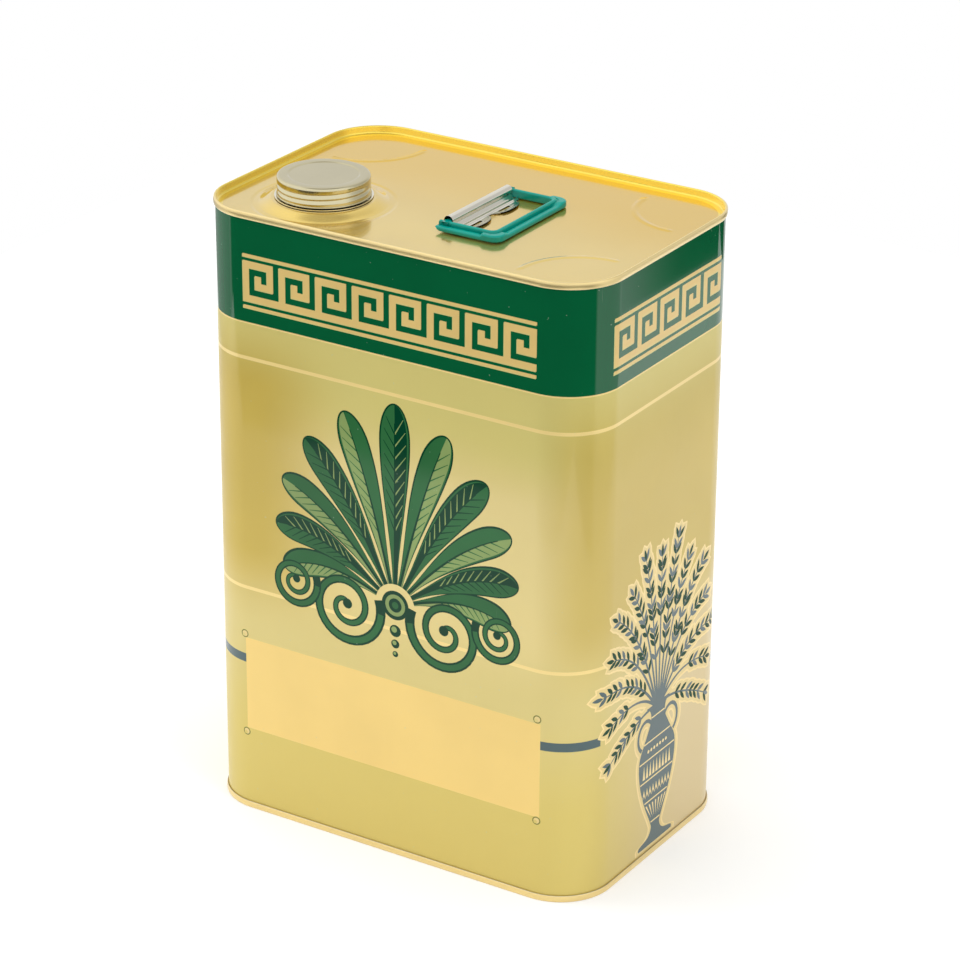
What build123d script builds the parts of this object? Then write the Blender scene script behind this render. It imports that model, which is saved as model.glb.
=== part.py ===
from build123d import *
import math
import os

# Five litre oil tin with a capped pour spout and a folding carry handle.
# Millimetres, +Z up, +X along the broad front face, front at -Y, origin at the centre of the base.

# Tin as a whole, measured over the flat body walls and from rim to rim
tin_width = 178.0
tin_depth = 117.2
tin_height = 258.1
corner_radius = 22.3

# Sheet thicknesses
body_sheet = 0.24
end_sheet = 0.24
neck_sheet = 0.3
cap_sheet = 0.25
bracket_sheet = 0.4

# Double seams that join the body to its two ends
seam_height = 2.8
seam_play = 0.02
seam_compound_depth = 0.14
seam_hook_gap = 0.25
seam_bend = 0.24
seam_crown_bend = 0.4
chuck_bend = 0.9
top_countersink = 3.2
bottom_countersink = 3.6
panel_margin = 3.0

# Welded lap down the middle of the back
weld_width = 1.1
weld_rise = 0.09
weld_end_gap = 0.4

# Quarter circle beads pressed into three corners of the lid
bead_radius = 25.5
bead_width = 2.6
bead_rise = 0.32
bead_inset_x = 12.5
bead_inset_y = 13.5
bead_turn = 90

# Raised boss that carries the neck, set in from the left wall and the front wall
neck_inset_x = 38.4
neck_inset_y = 33.6
boss_rise = 2.5
boss_slope_reach = 6.0
boss_land_margin = 1.0
boss_bend = 2.2
neck_hole_play = 0.15

# Screw neck
neck_radius = 16.4
neck_lip_reach = 0.35
neck_lip_height = 0.9
neck_height = 6.1
neck_flange_reach = 2.8
neck_crimp_reach = 3.0
gasket_depth = 0.3
gasket_margin = 0.4

# Thread, the same pitch on the neck and in the cap
thread_pitch = 2.8
thread_start_angle = 251
thread_start_gap = 0.3
thread_bury = 0.12
neck_thread_depth = 1.25
neck_thread_root_half = 0.75
neck_thread_crest_half = 0.35
neck_thread_end_gap = 0.1
cap_thread_lip_play = 0.3
cap_thread_root_half = 0.85
cap_thread_crest_half = 0.42
cap_thread_end_gap = 0.2
cap_groove_root_half = 0.62
cap_groove_crest_half = 0.26

# Screw cap
cap_thread_play = 0.3
cap_seat_gap = 0.3
cap_shoulder = 1.2
cap_rim_width = 4.2
cap_disc_drop = 0.35
cap_disc_slope = 0.4
cap_disc_bend = 0.3
cap_curl_radius = 0.3

# Liner disc inside the cap
liner_depth = 0.8
liner_play = 0.05
liner_edge_play = 0.35

# Pour insert pressed into the neck
spout_flange_inset = 0.05
spout_flange_depth = 0.7
spout_seal_play = 0.05
spout_fit_play = 0.03
spout_wall = 0.9
spout_depth = 11.0
spout_floor = 1.0
spout_bore_radius = 5.6
spout_tube_wall = 0.8
spout_lip_gap = 0.35
spout_lip_flare = 1.1
spout_lip_height = 1.6
drain_hole_radius = 1.5
drain_hole_count = 5
drain_ring_radius = 11.0
vent_bore_radius = 1.1
vent_wall = 0.7
vent_height = 6.0
vent_angle = 90
snap_bead_rise = 0.45
snap_bead_half = 0.6

# Carry handle, a moulded loop lying on the lid
handle_axis_x = 6.4
handle_centre_y = -3.8
handle_reach = 25.2
handle_rim_width = 4.6
handle_lid_gap = 0.4
handle_rib_width = 1.6
handle_rib_rise = 0.35
handle_flange_drop = 1.15
handle_groove_drop = 1.75
handle_groove_width = 0.7
handle_corner_radius = 2.5
handle_edge_round = 0.55
handle_knuckle_radius = 3.0
handle_pad_drop = 0.35
handle_pad_length = 8.0
handle_pad_corner = 3.4
handle_pad_round = 0.5
handle_side_play = 0.4
pivot_radius = 1.45
pivot_play = 0.1

# Bracket, one sheet rolled round the handle's bar and spot welded to the lid
bracket_length = 42.4
bracket_web_angle = -50
bracket_fold_reach = 1.35
bracket_fold_drop_share = 0.766
bracket_slope_reach = 1.6
bracket_foot_width = 0.7
bracket_bend = 0.45
lobe_margin = 2.2
lobe_gap = 2.0
lobe_reach = 4.0
lobe_pull_share = 0.75
lobe_tail_share = 0.7
lobe_slot_length = 3.0
lobe_slot_width = 0.45

# One overrun serves all cuts
overrun = 0.5

# Heights, places and radii that follow from the sizes above
lid_z = tin_height - top_countersink
seam_reach = seam_play * 3 + end_sheet * 2 + body_sheet
neck_x = neck_inset_x - tin_width / 2
neck_y = neck_inset_y - tin_depth / 2
land_z = lid_z + boss_rise
neck_flange_z = land_z + gasket_depth
neck_base_z = neck_flange_z + neck_sheet
neck_top_z = neck_base_z + neck_height
neck_flange_radius = neck_radius + neck_flange_reach
neck_lip_radius = neck_radius + neck_lip_reach
boss_land_radius = neck_flange_radius + boss_land_margin
boss_base_radius = boss_land_radius + boss_slope_reach
spout_top_z = neck_top_z + spout_flange_depth
liner_z = spout_top_z + spout_seal_play
cap_top_z = liner_z + liner_depth + liner_play + cap_sheet + cap_disc_drop
cap_base_z = neck_base_z + cap_seat_gap
cap_bore_radius = neck_radius + neck_thread_depth + cap_thread_play
cap_radius = cap_bore_radius + cap_sheet
neck_thread_z = neck_base_z + thread_start_gap + neck_thread_root_half
cap_thread_z = cap_base_z + cap_curl_radius * 2 + cap_thread_root_half
handle_axis_lift = handle_knuckle_radius + handle_lid_gap
handle_axis_z = lid_z + handle_axis_lift
pivot_bore_radius = pivot_radius + pivot_play
roll_radius = pivot_bore_radius + bracket_sheet


def unit(start, end):
    """Direction from one point of a plane section to another."""
    run = math.dist(start, end)
    return (end[0] - start[0]) / run, (end[1] - start[1]) / run


def shifted(point, direction, distance):
    """A plane point moved along a direction."""
    return point[0] + direction[0] * distance, point[1] + direction[1] * distance


def strip_side(points, bends, side):
    """Edges of one side of a bent sheet, whose middle follows points with rounded corners."""
    edges = []
    heading = unit(points[0], points[1])
    last = shifted(points[0], (-heading[1], heading[0]), side)
    for before, corner, after, bend in zip(points, points[1:], points[2:], bends):
        heading = unit(before, corner)
        leaving = unit(corner, after)
        turn = math.atan2(heading[0] * leaving[1] - heading[1] * leaving[0],
                          heading[0] * leaving[0] + heading[1] * leaving[1])
        hand = math.copysign(1, turn)
        reach = bend * math.tan(abs(turn) / 2)
        entry = shifted(corner, heading, -reach)
        centre = shifted(entry, (-heading[1] * hand, heading[0] * hand), bend)
        radius = bend - side * hand
        first = shifted(entry, (-heading[1], heading[0]), side)
        middle = shifted(centre, unit(centre, corner), radius)
        final = shifted(centre, unit(centre, shifted(corner, leaving, reach)), radius)
        edges.append(Line(last, first))
        edges.append(ThreePointArc(first, middle, final))
        last = final
    heading = unit(points[-2], points[-1])
    end = shifted(points[-1], (-heading[1], heading[0]), side)
    edges.append(Line(last, end))
    return edges, end


def bent_sheet(points, thickness, *bends):
    """Face of a bent sheet in the XZ plane, from its middle line and one bend radius per corner."""
    left, left_end = strip_side(points, bends, thickness / 2)
    right, right_end = strip_side(points, bends, -thickness / 2)
    edges = left + right
    edges.append(Line(left_end, right_end))
    edges.append(Line(left[0] @ 0, right[0] @ 0))
    return make_face(Plane.XZ * Wire(edges))


def section(*points):
    """Straight sided face in the XZ plane."""
    return make_face(Plane.XZ * Polyline(*points, close=True))


def round_corner(face, point, radius):
    """Rounds the one corner of a section that lies at a point."""
    place = Vector(point[0], 0, point[1])
    corner = min(face.vertices(), key=lambda vertex: (Vector(vertex) - place).length)
    return fillet(corner, radius)


def tin_ring(profile):
    """Carries a section round the tin: X is its distance outside the body wall, Z its height."""
    half_x = tin_width / 2 - corner_radius
    half_y = tin_depth / 2 - corner_radius
    corner = revolve(Pos(corner_radius, 0, 0) * profile, Axis.Z, 90)
    long_side = extrude(Pos(tin_depth / 2, -half_x, 0) * profile, half_x * 2, dir=(0, 1, 0))
    short_side = extrude(Pos(tin_width / 2, -half_y, 0) * profile, half_y * 2, dir=(0, 1, 0))
    pieces = [short_side, Rot(0, 0, 180) * short_side]
    pieces.append(Rot(0, 0, 90) * long_side)
    pieces.append(Rot(0, 0, -90) * long_side)
    for quarter, (side_x, side_y) in enumerate(((1, 1), (-1, 1), (-1, -1), (1, -1))):
        pieces.append(Pos(side_x * half_x, side_y * half_y, 0) * Rot(0, 0, quarter * 90) * corner)
    return pieces[0].fuse(*pieces[1:]).clean()


def tin_plate(inset, low, high):
    """Flat plate with the tin's outline, drawn in from the body wall."""
    outline = RectangleRounded(tin_width - inset * 2, tin_depth - inset * 2, corner_radius - inset)
    return extrude(Pos(0, 0, low) * outline, high - low)


def flipped(shape):
    """Mirror image that turns a top seam into a bottom seam."""
    return Pos(0, 0, tin_height / 2) * mirror(Pos(0, 0, -tin_height / 2) * shape, Plane.XY)


def body_hook_points():
    """Middle line of the body's upper flange, from the wall out and down into its hook."""
    wall = -body_sheet / 2
    top = tin_height - end_sheet - seam_compound_depth - body_sheet / 2
    hook = seam_play * 2 + end_sheet + body_sheet / 2
    hook_end = tin_height - seam_height + end_sheet + seam_hook_gap
    return [(wall, top), (hook, top), (hook, hook_end)]


def make_body_wrapper():
    """Printed body: four walls, both flanges and the welded lap at the back."""
    upper = body_hook_points()
    lower = [(offset, tin_height - height) for offset, height in reversed(upper)]
    body = tin_ring(bent_sheet(lower + upper, body_sheet, seam_bend, seam_bend, seam_bend, seam_bend))
    weld_low = seam_height + weld_end_gap
    weld_size = tin_height - weld_low * 2
    weld = Box(weld_width, body_sheet + weld_rise, weld_size, align=(Align.CENTER, Align.MAX, Align.MIN))
    return body + Pos(0, tin_depth / 2 + weld_rise, weld_low) * weld


def end_ring(countersink):
    """End sheet from the edge of its panel, up the chuck wall, over and under into the end hook."""
    chuck = -body_sheet - seam_play - end_sheet / 2
    top = tin_height - end_sheet / 2
    panel = tin_height - countersink - end_sheet / 2
    wall = seam_reach - end_sheet / 2
    under = tin_height - seam_height + end_sheet / 2
    hook = seam_play + end_sheet / 2
    flange_under = tin_height - end_sheet - seam_compound_depth - body_sheet
    outer = [(wall, top), (wall, under), (hook, under), (hook, flange_under - seam_hook_gap)]
    inner = [(-panel_margin, panel), (chuck, panel), (chuck, top)]
    bends = (chuck_bend, seam_crown_bend, seam_crown_bend, seam_bend, seam_bend)
    return bent_sheet(inner + outer, end_sheet, *bends)


def corner_bead(side_x, side_y):
    """Outer skin and hollow of one quarter circle bead, concentric with a corner of the lid."""
    centre_x = side_x * (tin_width / 2 - bead_inset_x)
    centre_y = side_y * (tin_depth / 2 - bead_inset_y)
    turn = {(1, 1): 180, (-1, 1): 270, (1, -1): 90}[(side_x, side_y)]
    solids = []
    for drop in (0, end_sheet):
        crown = ThreePointArc((-bead_width / 2, -end_sheet / 2 - drop), (0, bead_rise - drop),
                              (bead_width / 2, -end_sheet / 2 - drop))
        base = Line(crown @ 1, crown @ 0)
        profile = make_face(Plane.XZ * Wire([crown, base]))
        ridge = revolve(Pos(bead_radius, 0, 0) * profile, Axis.Z, bead_turn)
        end_cap = revolve(split(profile, Plane.YZ), Axis.Z, 360)
        first_end = Pos(bead_radius, 0, 0) * end_cap
        second_end = Rot(0, 0, bead_turn) * Pos(bead_radius, 0, 0) * end_cap
        bead = ridge + first_end + second_end
        solids.append(Pos(centre_x, centre_y, lid_z) * Rot(0, 0, turn) * bead)
    return solids


def boss_shell():
    """Drawn boss under the neck, from the flat lid up to the land round the hole."""
    middle = end_sheet / 2
    hole = neck_radius + neck_hole_play
    rim = boss_base_radius + boss_bend
    points = [(rim, -middle), (boss_base_radius, -middle), (boss_land_radius, boss_rise - middle),
              (hole, boss_rise - middle)]
    profile = bent_sheet(points, end_sheet, boss_bend, boss_bend)
    return Pos(neck_x, neck_y, lid_z) * revolve(profile, Axis.Z, 360)


def make_top_end():
    """Lid: countersunk panel with its seam, neck boss and corner beads."""
    panel = tin_plate(panel_margin, lid_z - end_sheet, lid_z)
    opening = Cylinder(boss_base_radius + boss_bend, end_sheet + overrun * 2)
    panel = panel - Pos(neck_x, neck_y, lid_z) * opening
    lid = panel + tin_ring(end_ring(top_countersink)) + boss_shell()
    for side_x, side_y in ((1, 1), (-1, 1), (1, -1)):
        skin, hollow = corner_bead(side_x, side_y)
        lid = lid + skin - hollow
    return lid


def make_bottom_end():
    """Base: recessed panel and seam, which the tin stands on."""
    panel_z = tin_height - bottom_countersink
    panel = tin_plate(panel_margin, panel_z - end_sheet, panel_z)
    return flipped(panel + tin_ring(end_ring(bottom_countersink)))


def make_seam_compound():
    """Sealing compound between the body's flange and the crown of the end's seam."""
    inner = seam_crown_bend - body_sheet - seam_play - end_sheet / 2
    outer = seam_reach - end_sheet / 2 - seam_crown_bend
    high = tin_height - end_sheet
    low = high - seam_compound_depth
    return tin_ring(section((inner, low), (outer, low), (outer, high), (inner, high)))


def helical_ridge(radius, tip_radius, root_half, tip_half, turns):
    """Thread form swept up its helix from a root radius to a tip radius."""
    helix = Helix(pitch=thread_pitch, height=thread_pitch * turns, radius=radius)
    reach = tip_radius - radius
    form = Polyline((0, -root_half), (reach, -tip_half), (reach, tip_half), (0, root_half), close=True)
    plane = Plane(origin=helix @ 0, x_dir=(1, 0, 0), z_dir=helix % 0)
    return sweep(plane * make_face(form), path=helix, is_frenet=True)


def at_neck(shape):
    """Puts a piece drawn on the Z axis onto the neck's axis."""
    return Pos(neck_x, neck_y, 0) * shape


def make_screw_neck():
    """Neck with its lip, thread, sealing flange and the crimp under the lid."""
    inner = neck_radius - neck_sheet
    under = land_z - end_sheet
    crimp_radius = neck_radius + neck_crimp_reach
    points = [(inner, under - neck_sheet), (inner, neck_top_z), (neck_lip_radius, neck_top_z),
              (neck_lip_radius, neck_top_z - neck_lip_height), (neck_radius, neck_top_z - neck_lip_height),
              (neck_radius, neck_base_z), (neck_flange_radius, neck_base_z),
              (neck_flange_radius, neck_flange_z), (neck_radius, neck_flange_z), (neck_radius, under),
              (crimp_radius, under), (crimp_radius, under - neck_sheet)]
    neck = revolve(section(*points), Axis.Z, 360)
    thread_end_z = neck_top_z - neck_lip_height - neck_thread_end_gap - neck_thread_root_half
    turns = (thread_end_z - neck_thread_z) / thread_pitch
    ridge = helical_ridge(neck_radius - thread_bury, neck_radius + neck_thread_depth,
                          neck_thread_root_half, neck_thread_crest_half, turns)
    neck = neck + Pos(0, 0, neck_thread_z) * Rot(0, 0, thread_start_angle) * ridge
    return at_neck(neck)


def make_neck_gasket():
    """Rubber ring squeezed between the neck's flange and the boss."""
    outer = neck_flange_radius - gasket_margin
    ring = section((neck_radius, land_z), (outer, land_z), (outer, neck_flange_z),
                   (neck_radius, neck_flange_z))
    return at_neck(revolve(ring, Axis.Z, 360))


def cap_blank():
    """Cap before its thread is rolled: dropped disc, rim, shoulder, skirt and curled edge."""
    middle = cap_sheet / 2
    top = cap_top_z - middle
    wall = cap_radius - middle
    step = cap_radius - cap_rim_width
    disc = step - cap_disc_slope
    rim = cap_radius - cap_shoulder * 2
    disc_top = cap_top_z - cap_disc_drop
    disc_base = disc_top - cap_sheet
    crown = section((0, disc_base), (disc, disc_base), (disc, disc_top), (0, disc_top))
    lower = disc_top - middle
    ramp = bent_sheet([(disc - cap_disc_bend, lower), (disc, lower), (step, top), (rim, top)],
                      cap_sheet, cap_disc_bend, cap_disc_bend)
    skirt = bent_sheet([(rim, top), (wall, top), (wall, cap_base_z)], cap_sheet, cap_shoulder - middle)
    curl = Pos(cap_radius, 0, cap_base_z + cap_curl_radius) * (Plane.XZ * Circle(cap_curl_radius))
    blank = revolve(crown, Axis.Z, 360)
    for profile in (ramp, skirt, curl):
        blank = blank + revolve(profile, Axis.Z, 360)
    return blank


def make_cap_shell():
    """Cap drawn from one sheet: its rolled thread is a ridge inside and a groove outside."""
    lag = (cap_thread_z + thread_pitch / 2 - neck_thread_z) / thread_pitch
    turns = (liner_z - cap_thread_end_gap - cap_thread_root_half - cap_thread_z) / thread_pitch
    tip = neck_lip_radius + cap_thread_lip_play
    ridge = helical_ridge(cap_bore_radius + thread_bury, tip, cap_thread_root_half,
                          cap_thread_crest_half, turns)
    groove = helical_ridge(cap_radius + overrun, tip + cap_sheet, cap_groove_root_half,
                           cap_groove_crest_half, turns)
    at_thread = Pos(0, 0, cap_thread_z) * Rot(0, 0, thread_start_angle + lag * 360)
    return at_neck(cap_blank() + at_thread * ridge - at_thread * groove)


def make_cap_liner():
    """Sealing disc that turns freely inside the cap."""
    radius = cap_bore_radius - liner_edge_play
    disc = Cylinder(radius, liner_depth, align=(Align.CENTER, Align.CENTER, Align.MIN))
    return at_neck(Pos(0, 0, liner_z) * disc)


def make_pour_spout():
    """Pour insert: flange, plug wall with its snap bead, drained floor, dripless lip and air tube."""
    plug = neck_radius - neck_sheet - spout_fit_play
    floor_z = neck_top_z - spout_depth
    bore = spout_bore_radius
    tube = bore + spout_tube_wall
    lip_z = liner_z - spout_lip_gap
    flange = neck_lip_radius - spout_flange_inset
    points = [(bore, floor_z), (plug, floor_z), (plug, neck_top_z), (flange, neck_top_z),
              (flange, spout_top_z), (plug - spout_wall, spout_top_z),
              (plug - spout_wall, floor_z + spout_floor), (tube, floor_z + spout_floor),
              (tube, lip_z - spout_lip_height), (tube + spout_lip_flare, lip_z),
              (bore + spout_lip_flare, lip_z), (bore, lip_z - spout_lip_height)]
    spout = revolve(section(*points), Axis.Z, 360)
    snap_z = land_z - end_sheet - neck_sheet - spout_fit_play - snap_bead_half
    bead = section((plug - snap_bead_rise, snap_z - snap_bead_half), (plug, snap_z - snap_bead_half),
                   (plug + snap_bead_rise, snap_z), (plug, snap_z + snap_bead_half),
                   (plug - snap_bead_rise, snap_z + snap_bead_half))
    spout = spout + revolve(bead, Axis.Z, 360)
    drain = Cylinder(drain_hole_radius, spout_floor + overrun * 2)
    for number in range(drain_hole_count):
        angle = vent_angle + 360 * (number + 1) / (drain_hole_count + 1)
        spout = spout - Rot(0, 0, angle) * Pos(drain_ring_radius, 0, floor_z + spout_floor / 2) * drain
    base = (Align.CENTER, Align.CENTER, Align.MIN)
    air_tube = Cylinder(vent_bore_radius + vent_wall, vent_height, align=base)
    air_hole = Cylinder(vent_bore_radius, vent_height + overrun * 2, align=base)
    at_vent = Rot(0, 0, vent_angle) * Pos(drain_ring_radius, 0, floor_z)
    spout = spout + at_vent * air_tube - at_vent * Pos(0, 0, -overrun) * air_hole
    return at_neck(spout)


def rim_section():
    """Section of the handle's rim: upright inner rib, groove and lower outer flange."""
    base = -handle_knuckle_radius
    groove_end = handle_rib_width + handle_groove_width
    points = [(0, base), (handle_rim_width, base), (handle_rim_width, -handle_flange_drop),
              (groove_end, -handle_flange_drop), (handle_rib_width, -handle_groove_drop),
              (handle_rib_width, handle_rib_rise), (0, handle_rib_rise)]
    face = section(*points)
    for point in (points[1], points[2], points[5], points[6]):
        face = round_corner(face, point, handle_edge_round)
    return face


def square_corner(reach, outer_half, base, height, corner):
    """Upright block whose far corner lies at a place in plan and is rounded."""
    block = Box(handle_pad_length, handle_pad_length, height, align=(Align.MAX, Align.MAX, Align.MIN))
    upright = block.edges().filter_by(Axis.Z).sort_by(lambda edge: edge.center().X + edge.center().Y)
    return Pos(reach, outer_half, base) * fillet(upright[-1], corner)


def corner_pad(inner_half, outer_half, reach):
    """Raised pad that squares off one free corner of the handle."""
    inner_x = reach - handle_rim_width + handle_rib_width
    inner_y = inner_half + handle_rib_width
    base = -handle_knuckle_radius
    height = handle_knuckle_radius - handle_pad_drop
    block = square_corner(reach, outer_half, base, height, handle_pad_corner)
    hollow = square_corner(inner_x, inner_y, base - overrun, height + overrun * 2,
                           handle_corner_radius + handle_rib_width)
    pad = block - hollow
    top_edges = pad.faces().sort_by(Axis.Z)[-1].edges()
    outermost = sorted(top_edges, key=lambda edge: max((edge @ 0.5).X - reach,
                                                       (edge @ 0.5).Y - outer_half))
    return fillet(outermost[-3:], handle_pad_round)


def make_carry_handle():
    """Moulded loop: two arms, a grip bar with corner pads, and the pivot bar at the back."""
    inner_half = bracket_length / 2 + handle_side_play
    outer_half = inner_half + handle_rim_width
    inner_reach = handle_reach - handle_rim_width
    corner_x = inner_reach - handle_corner_radius
    corner_y = inner_half - handle_corner_radius
    rim = rim_section()
    grip = extrude(Pos(inner_reach, -corner_y, 0) * rim, corner_y * 2, dir=(0, 1, 0))
    arm = extrude(Rot(0, 0, 90) * Pos(inner_half, 0, 0) * rim, corner_x, dir=(1, 0, 0))
    bend = revolve(Pos(handle_corner_radius, 0, 0) * rim, Axis.Z, 90)
    stub = extrude(Rot(0, 0, 90) * Pos(inner_half, 0, 0) * rim, handle_knuckle_radius, dir=(-1, 0, 0))
    knuckle = Rot(90, 0, 0) * Cylinder(handle_knuckle_radius, outer_half * 2 + overrun)
    half = arm + Pos(corner_x, corner_y, 0) * bend + (stub & knuckle)
    half = half + corner_pad(inner_half, outer_half, handle_reach)
    loop = grip + half + mirror(half, Plane.XZ)
    bar = Rot(90, 0, 0) * Cylinder(pivot_radius, inner_half * 2 + handle_rib_width)
    above = Box(pivot_radius * 2, inner_half * 2 + handle_rim_width, pivot_radius * 2,
                align=(Align.CENTER, Align.CENTER, Align.MIN))
    loop = loop + (bar - Pos(0, 0, handle_rib_rise) * above)
    return Pos(handle_axis_x, handle_centre_y, handle_axis_z) * loop


def make_handle_bracket():
    """Rolled bearing tube, its web with two folds, and the foot with two weld lobes."""
    foot_z = bracket_sheet / 2 - handle_axis_lift
    leave = math.radians(bracket_web_angle)
    middle = pivot_bore_radius + bracket_sheet / 2
    fold_x = roll_radius + bracket_fold_reach
    foot_x = fold_x + bracket_slope_reach
    foot_edge = foot_x + bracket_foot_width
    web_start = (middle * math.cos(leave), middle * math.sin(leave))
    fold_z = foot_z * bracket_fold_drop_share
    points = [web_start, (fold_x, fold_z), (foot_x, foot_z), (foot_edge, foot_z)]
    web = bent_sheet(points, bracket_sheet, bracket_bend, bracket_bend)
    tube = Plane.XZ * (Circle(roll_radius) - Circle(pivot_bore_radius))
    web = web - Plane.XZ * Circle(middle)
    bracket = extrude(Pos(0, -bracket_length / 2, 0) * (tube + web), bracket_length, dir=(0, 1, 0))
    lobe_length = (bracket_length - lobe_margin * 2 - lobe_gap) / 2
    root = foot_edge - lobe_slot_width
    pull = root + (lobe_reach + lobe_slot_width) / lobe_pull_share
    crest = Bezier((root, 0), (pull, 0), (pull, lobe_length * lobe_tail_share), (root, lobe_length))
    lobe = extrude(make_face(Wire([crest, Line(crest @ 1, crest @ 0)])), bracket_sheet)
    slot = Box(lobe_slot_width, lobe_slot_length, bracket_sheet + overrun * 2,
               align=(Align.MIN, Align.CENTER, Align.CENTER))
    for number in (0, 1):
        low = lobe_margin - bracket_length / 2 + (lobe_length + lobe_gap) * number
        place = Pos(0, low, -handle_axis_lift)
        bracket = bracket + place * lobe
        for end in (lobe_slot_length / 2, lobe_length - lobe_slot_length / 2):
            bracket = bracket - place * Pos(foot_edge, end, 0) * slot
    return Pos(handle_axis_x, handle_centre_y, handle_axis_z) * bracket


def main():
    """Writes one file for each piece."""
    os.makedirs("parts", exist_ok=True)
    compound = make_seam_compound()
    nodes = {
        "body_wrapper": make_body_wrapper(),
        "top_end": make_top_end(),
        "bottom_end": make_bottom_end(),
        "top_seam_compound": compound,
        "bottom_seam_compound": flipped(compound),
        "screw_neck": make_screw_neck(),
        "neck_gasket": make_neck_gasket(),
        "pour_spout": make_pour_spout(),
        "cap_shell": make_cap_shell(),
        "cap_liner": make_cap_liner(),
        "carry_handle": make_carry_handle(),
        "handle_bracket": make_handle_bracket(),
    }
    for name, shape in nodes.items():
        export_step(shape, f"parts/{name}.step")


main()
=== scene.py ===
import logging
import math
from dataclasses import dataclass, field
from enum import Enum
from typing import Callable, Iterable, Iterator, NamedTuple, Optional, Sequence

import bpy
from mathutils import Matrix, Vector
from mathutils.geometry import delaunay_2d_cdt


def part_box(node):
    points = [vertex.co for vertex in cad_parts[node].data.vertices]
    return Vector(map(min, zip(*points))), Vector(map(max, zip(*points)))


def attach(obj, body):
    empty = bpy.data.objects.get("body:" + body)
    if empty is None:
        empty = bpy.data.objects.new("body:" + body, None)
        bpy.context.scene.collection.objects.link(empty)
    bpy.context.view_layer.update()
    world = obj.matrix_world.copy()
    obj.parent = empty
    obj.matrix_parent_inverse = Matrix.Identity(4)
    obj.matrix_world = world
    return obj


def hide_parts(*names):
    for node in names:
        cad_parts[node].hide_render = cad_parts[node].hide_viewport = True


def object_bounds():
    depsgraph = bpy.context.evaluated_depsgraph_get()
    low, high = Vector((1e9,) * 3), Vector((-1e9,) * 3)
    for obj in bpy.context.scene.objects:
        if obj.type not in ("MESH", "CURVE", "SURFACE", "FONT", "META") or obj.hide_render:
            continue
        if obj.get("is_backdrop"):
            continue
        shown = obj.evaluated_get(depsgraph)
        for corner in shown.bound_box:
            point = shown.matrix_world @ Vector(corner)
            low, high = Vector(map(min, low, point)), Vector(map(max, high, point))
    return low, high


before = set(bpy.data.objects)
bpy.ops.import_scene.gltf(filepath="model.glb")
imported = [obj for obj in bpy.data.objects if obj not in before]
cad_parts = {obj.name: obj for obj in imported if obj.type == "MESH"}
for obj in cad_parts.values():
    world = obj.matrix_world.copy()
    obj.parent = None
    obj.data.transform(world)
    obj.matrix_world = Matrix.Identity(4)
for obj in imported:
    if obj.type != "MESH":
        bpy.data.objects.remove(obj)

log = logging.getLogger("oil_tin")

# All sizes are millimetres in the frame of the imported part, and MM turns them into metres
MM = 0.001
# Vertices closer than WELD merge, and EDGE_SPLIT keeps the two sides of a sharp edge from doing so
WELD = 0.0001
EDGE_SPLIT = 0.001
# Points of a flat cut that are closer than this are one point
CUT_WELD = 1e-5

Colour = tuple[float, float, float]
Point2 = tuple[float, float]
Point3 = tuple[float, float, float]
Station = tuple[Point3, Point3]
Socket = bpy.types.NodeSocket
Material = bpy.types.Material
SceneObject = bpy.types.Object


class Ink(Enum):
    """Colours that are printed on the body, in the order of its material slots."""

    FIELD = 0
    BAND = 1
    GOLD_LINE = 2
    FRIEZE = 3
    FRIEZE_EDGE = 4
    PLATE = 5
    SLATE = 6
    HALO = 7
    HALO_EDGE = 8
    LEAF_DARK = 9
    LEAF_MID = 10
    LEAF_LIGHT = 11
    RING = 12
    BARE = 13


Shape = tuple[Ink, list[Point2]]


def node_box(name: str) -> tuple[Vector, Vector]:
    """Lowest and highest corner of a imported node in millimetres."""
    low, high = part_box(name)
    return low / MM, high / MM


def between(low: float, high: float, share: float) -> float:
    """Value at a share of the way from one number to another."""
    return low + (high - low) * share


def steps(low: float, high: float, count: int) -> list[float]:
    """Evenly spaced values with both ends, one more of them than the count of gaps."""
    return [between(low, high, number / count) for number in range(count + 1)]


def smooth_step(value: float) -> float:
    """Eases a share from 0 to 1, level at both ends."""
    share = min(1.0, max(0.0, value))
    return share * share * (3 - 2 * share)


def corner_arc(before: Vector, corner: Vector, after: Vector, bend: float, arc_steps: int,
               side: float = 0.0) -> list[Point2]:
    """Round that takes the place of one corner of a path.

    Args:
        before: Point ahead of the corner.
        corner: The corner itself.
        after: Point past the corner.
        bend: Radius of the round on the path.
        arc_steps: Straight steps in the round.
        side: Distance of the round from the path, positive to its left.

    Returns:
        Points from the start of the round to its end.
    """
    heading = (corner - before).normalized()
    leaving = (after - corner).normalized()
    turn = math.atan2(heading.x * leaving.y - heading.y * leaving.x, heading.dot(leaving))
    hand = math.copysign(1, turn)
    entry = corner - heading * bend * math.tan(abs(turn) / 2)
    centre = entry + Vector((-heading.y, heading.x)) * bend * hand
    spoke = (entry - centre).normalized() * (bend - side * hand)
    places = [centre + Matrix.Rotation(angle, 2) @ spoke for angle in steps(0, turn, arc_steps)]
    return [(place.x, place.y) for place in places]


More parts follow.
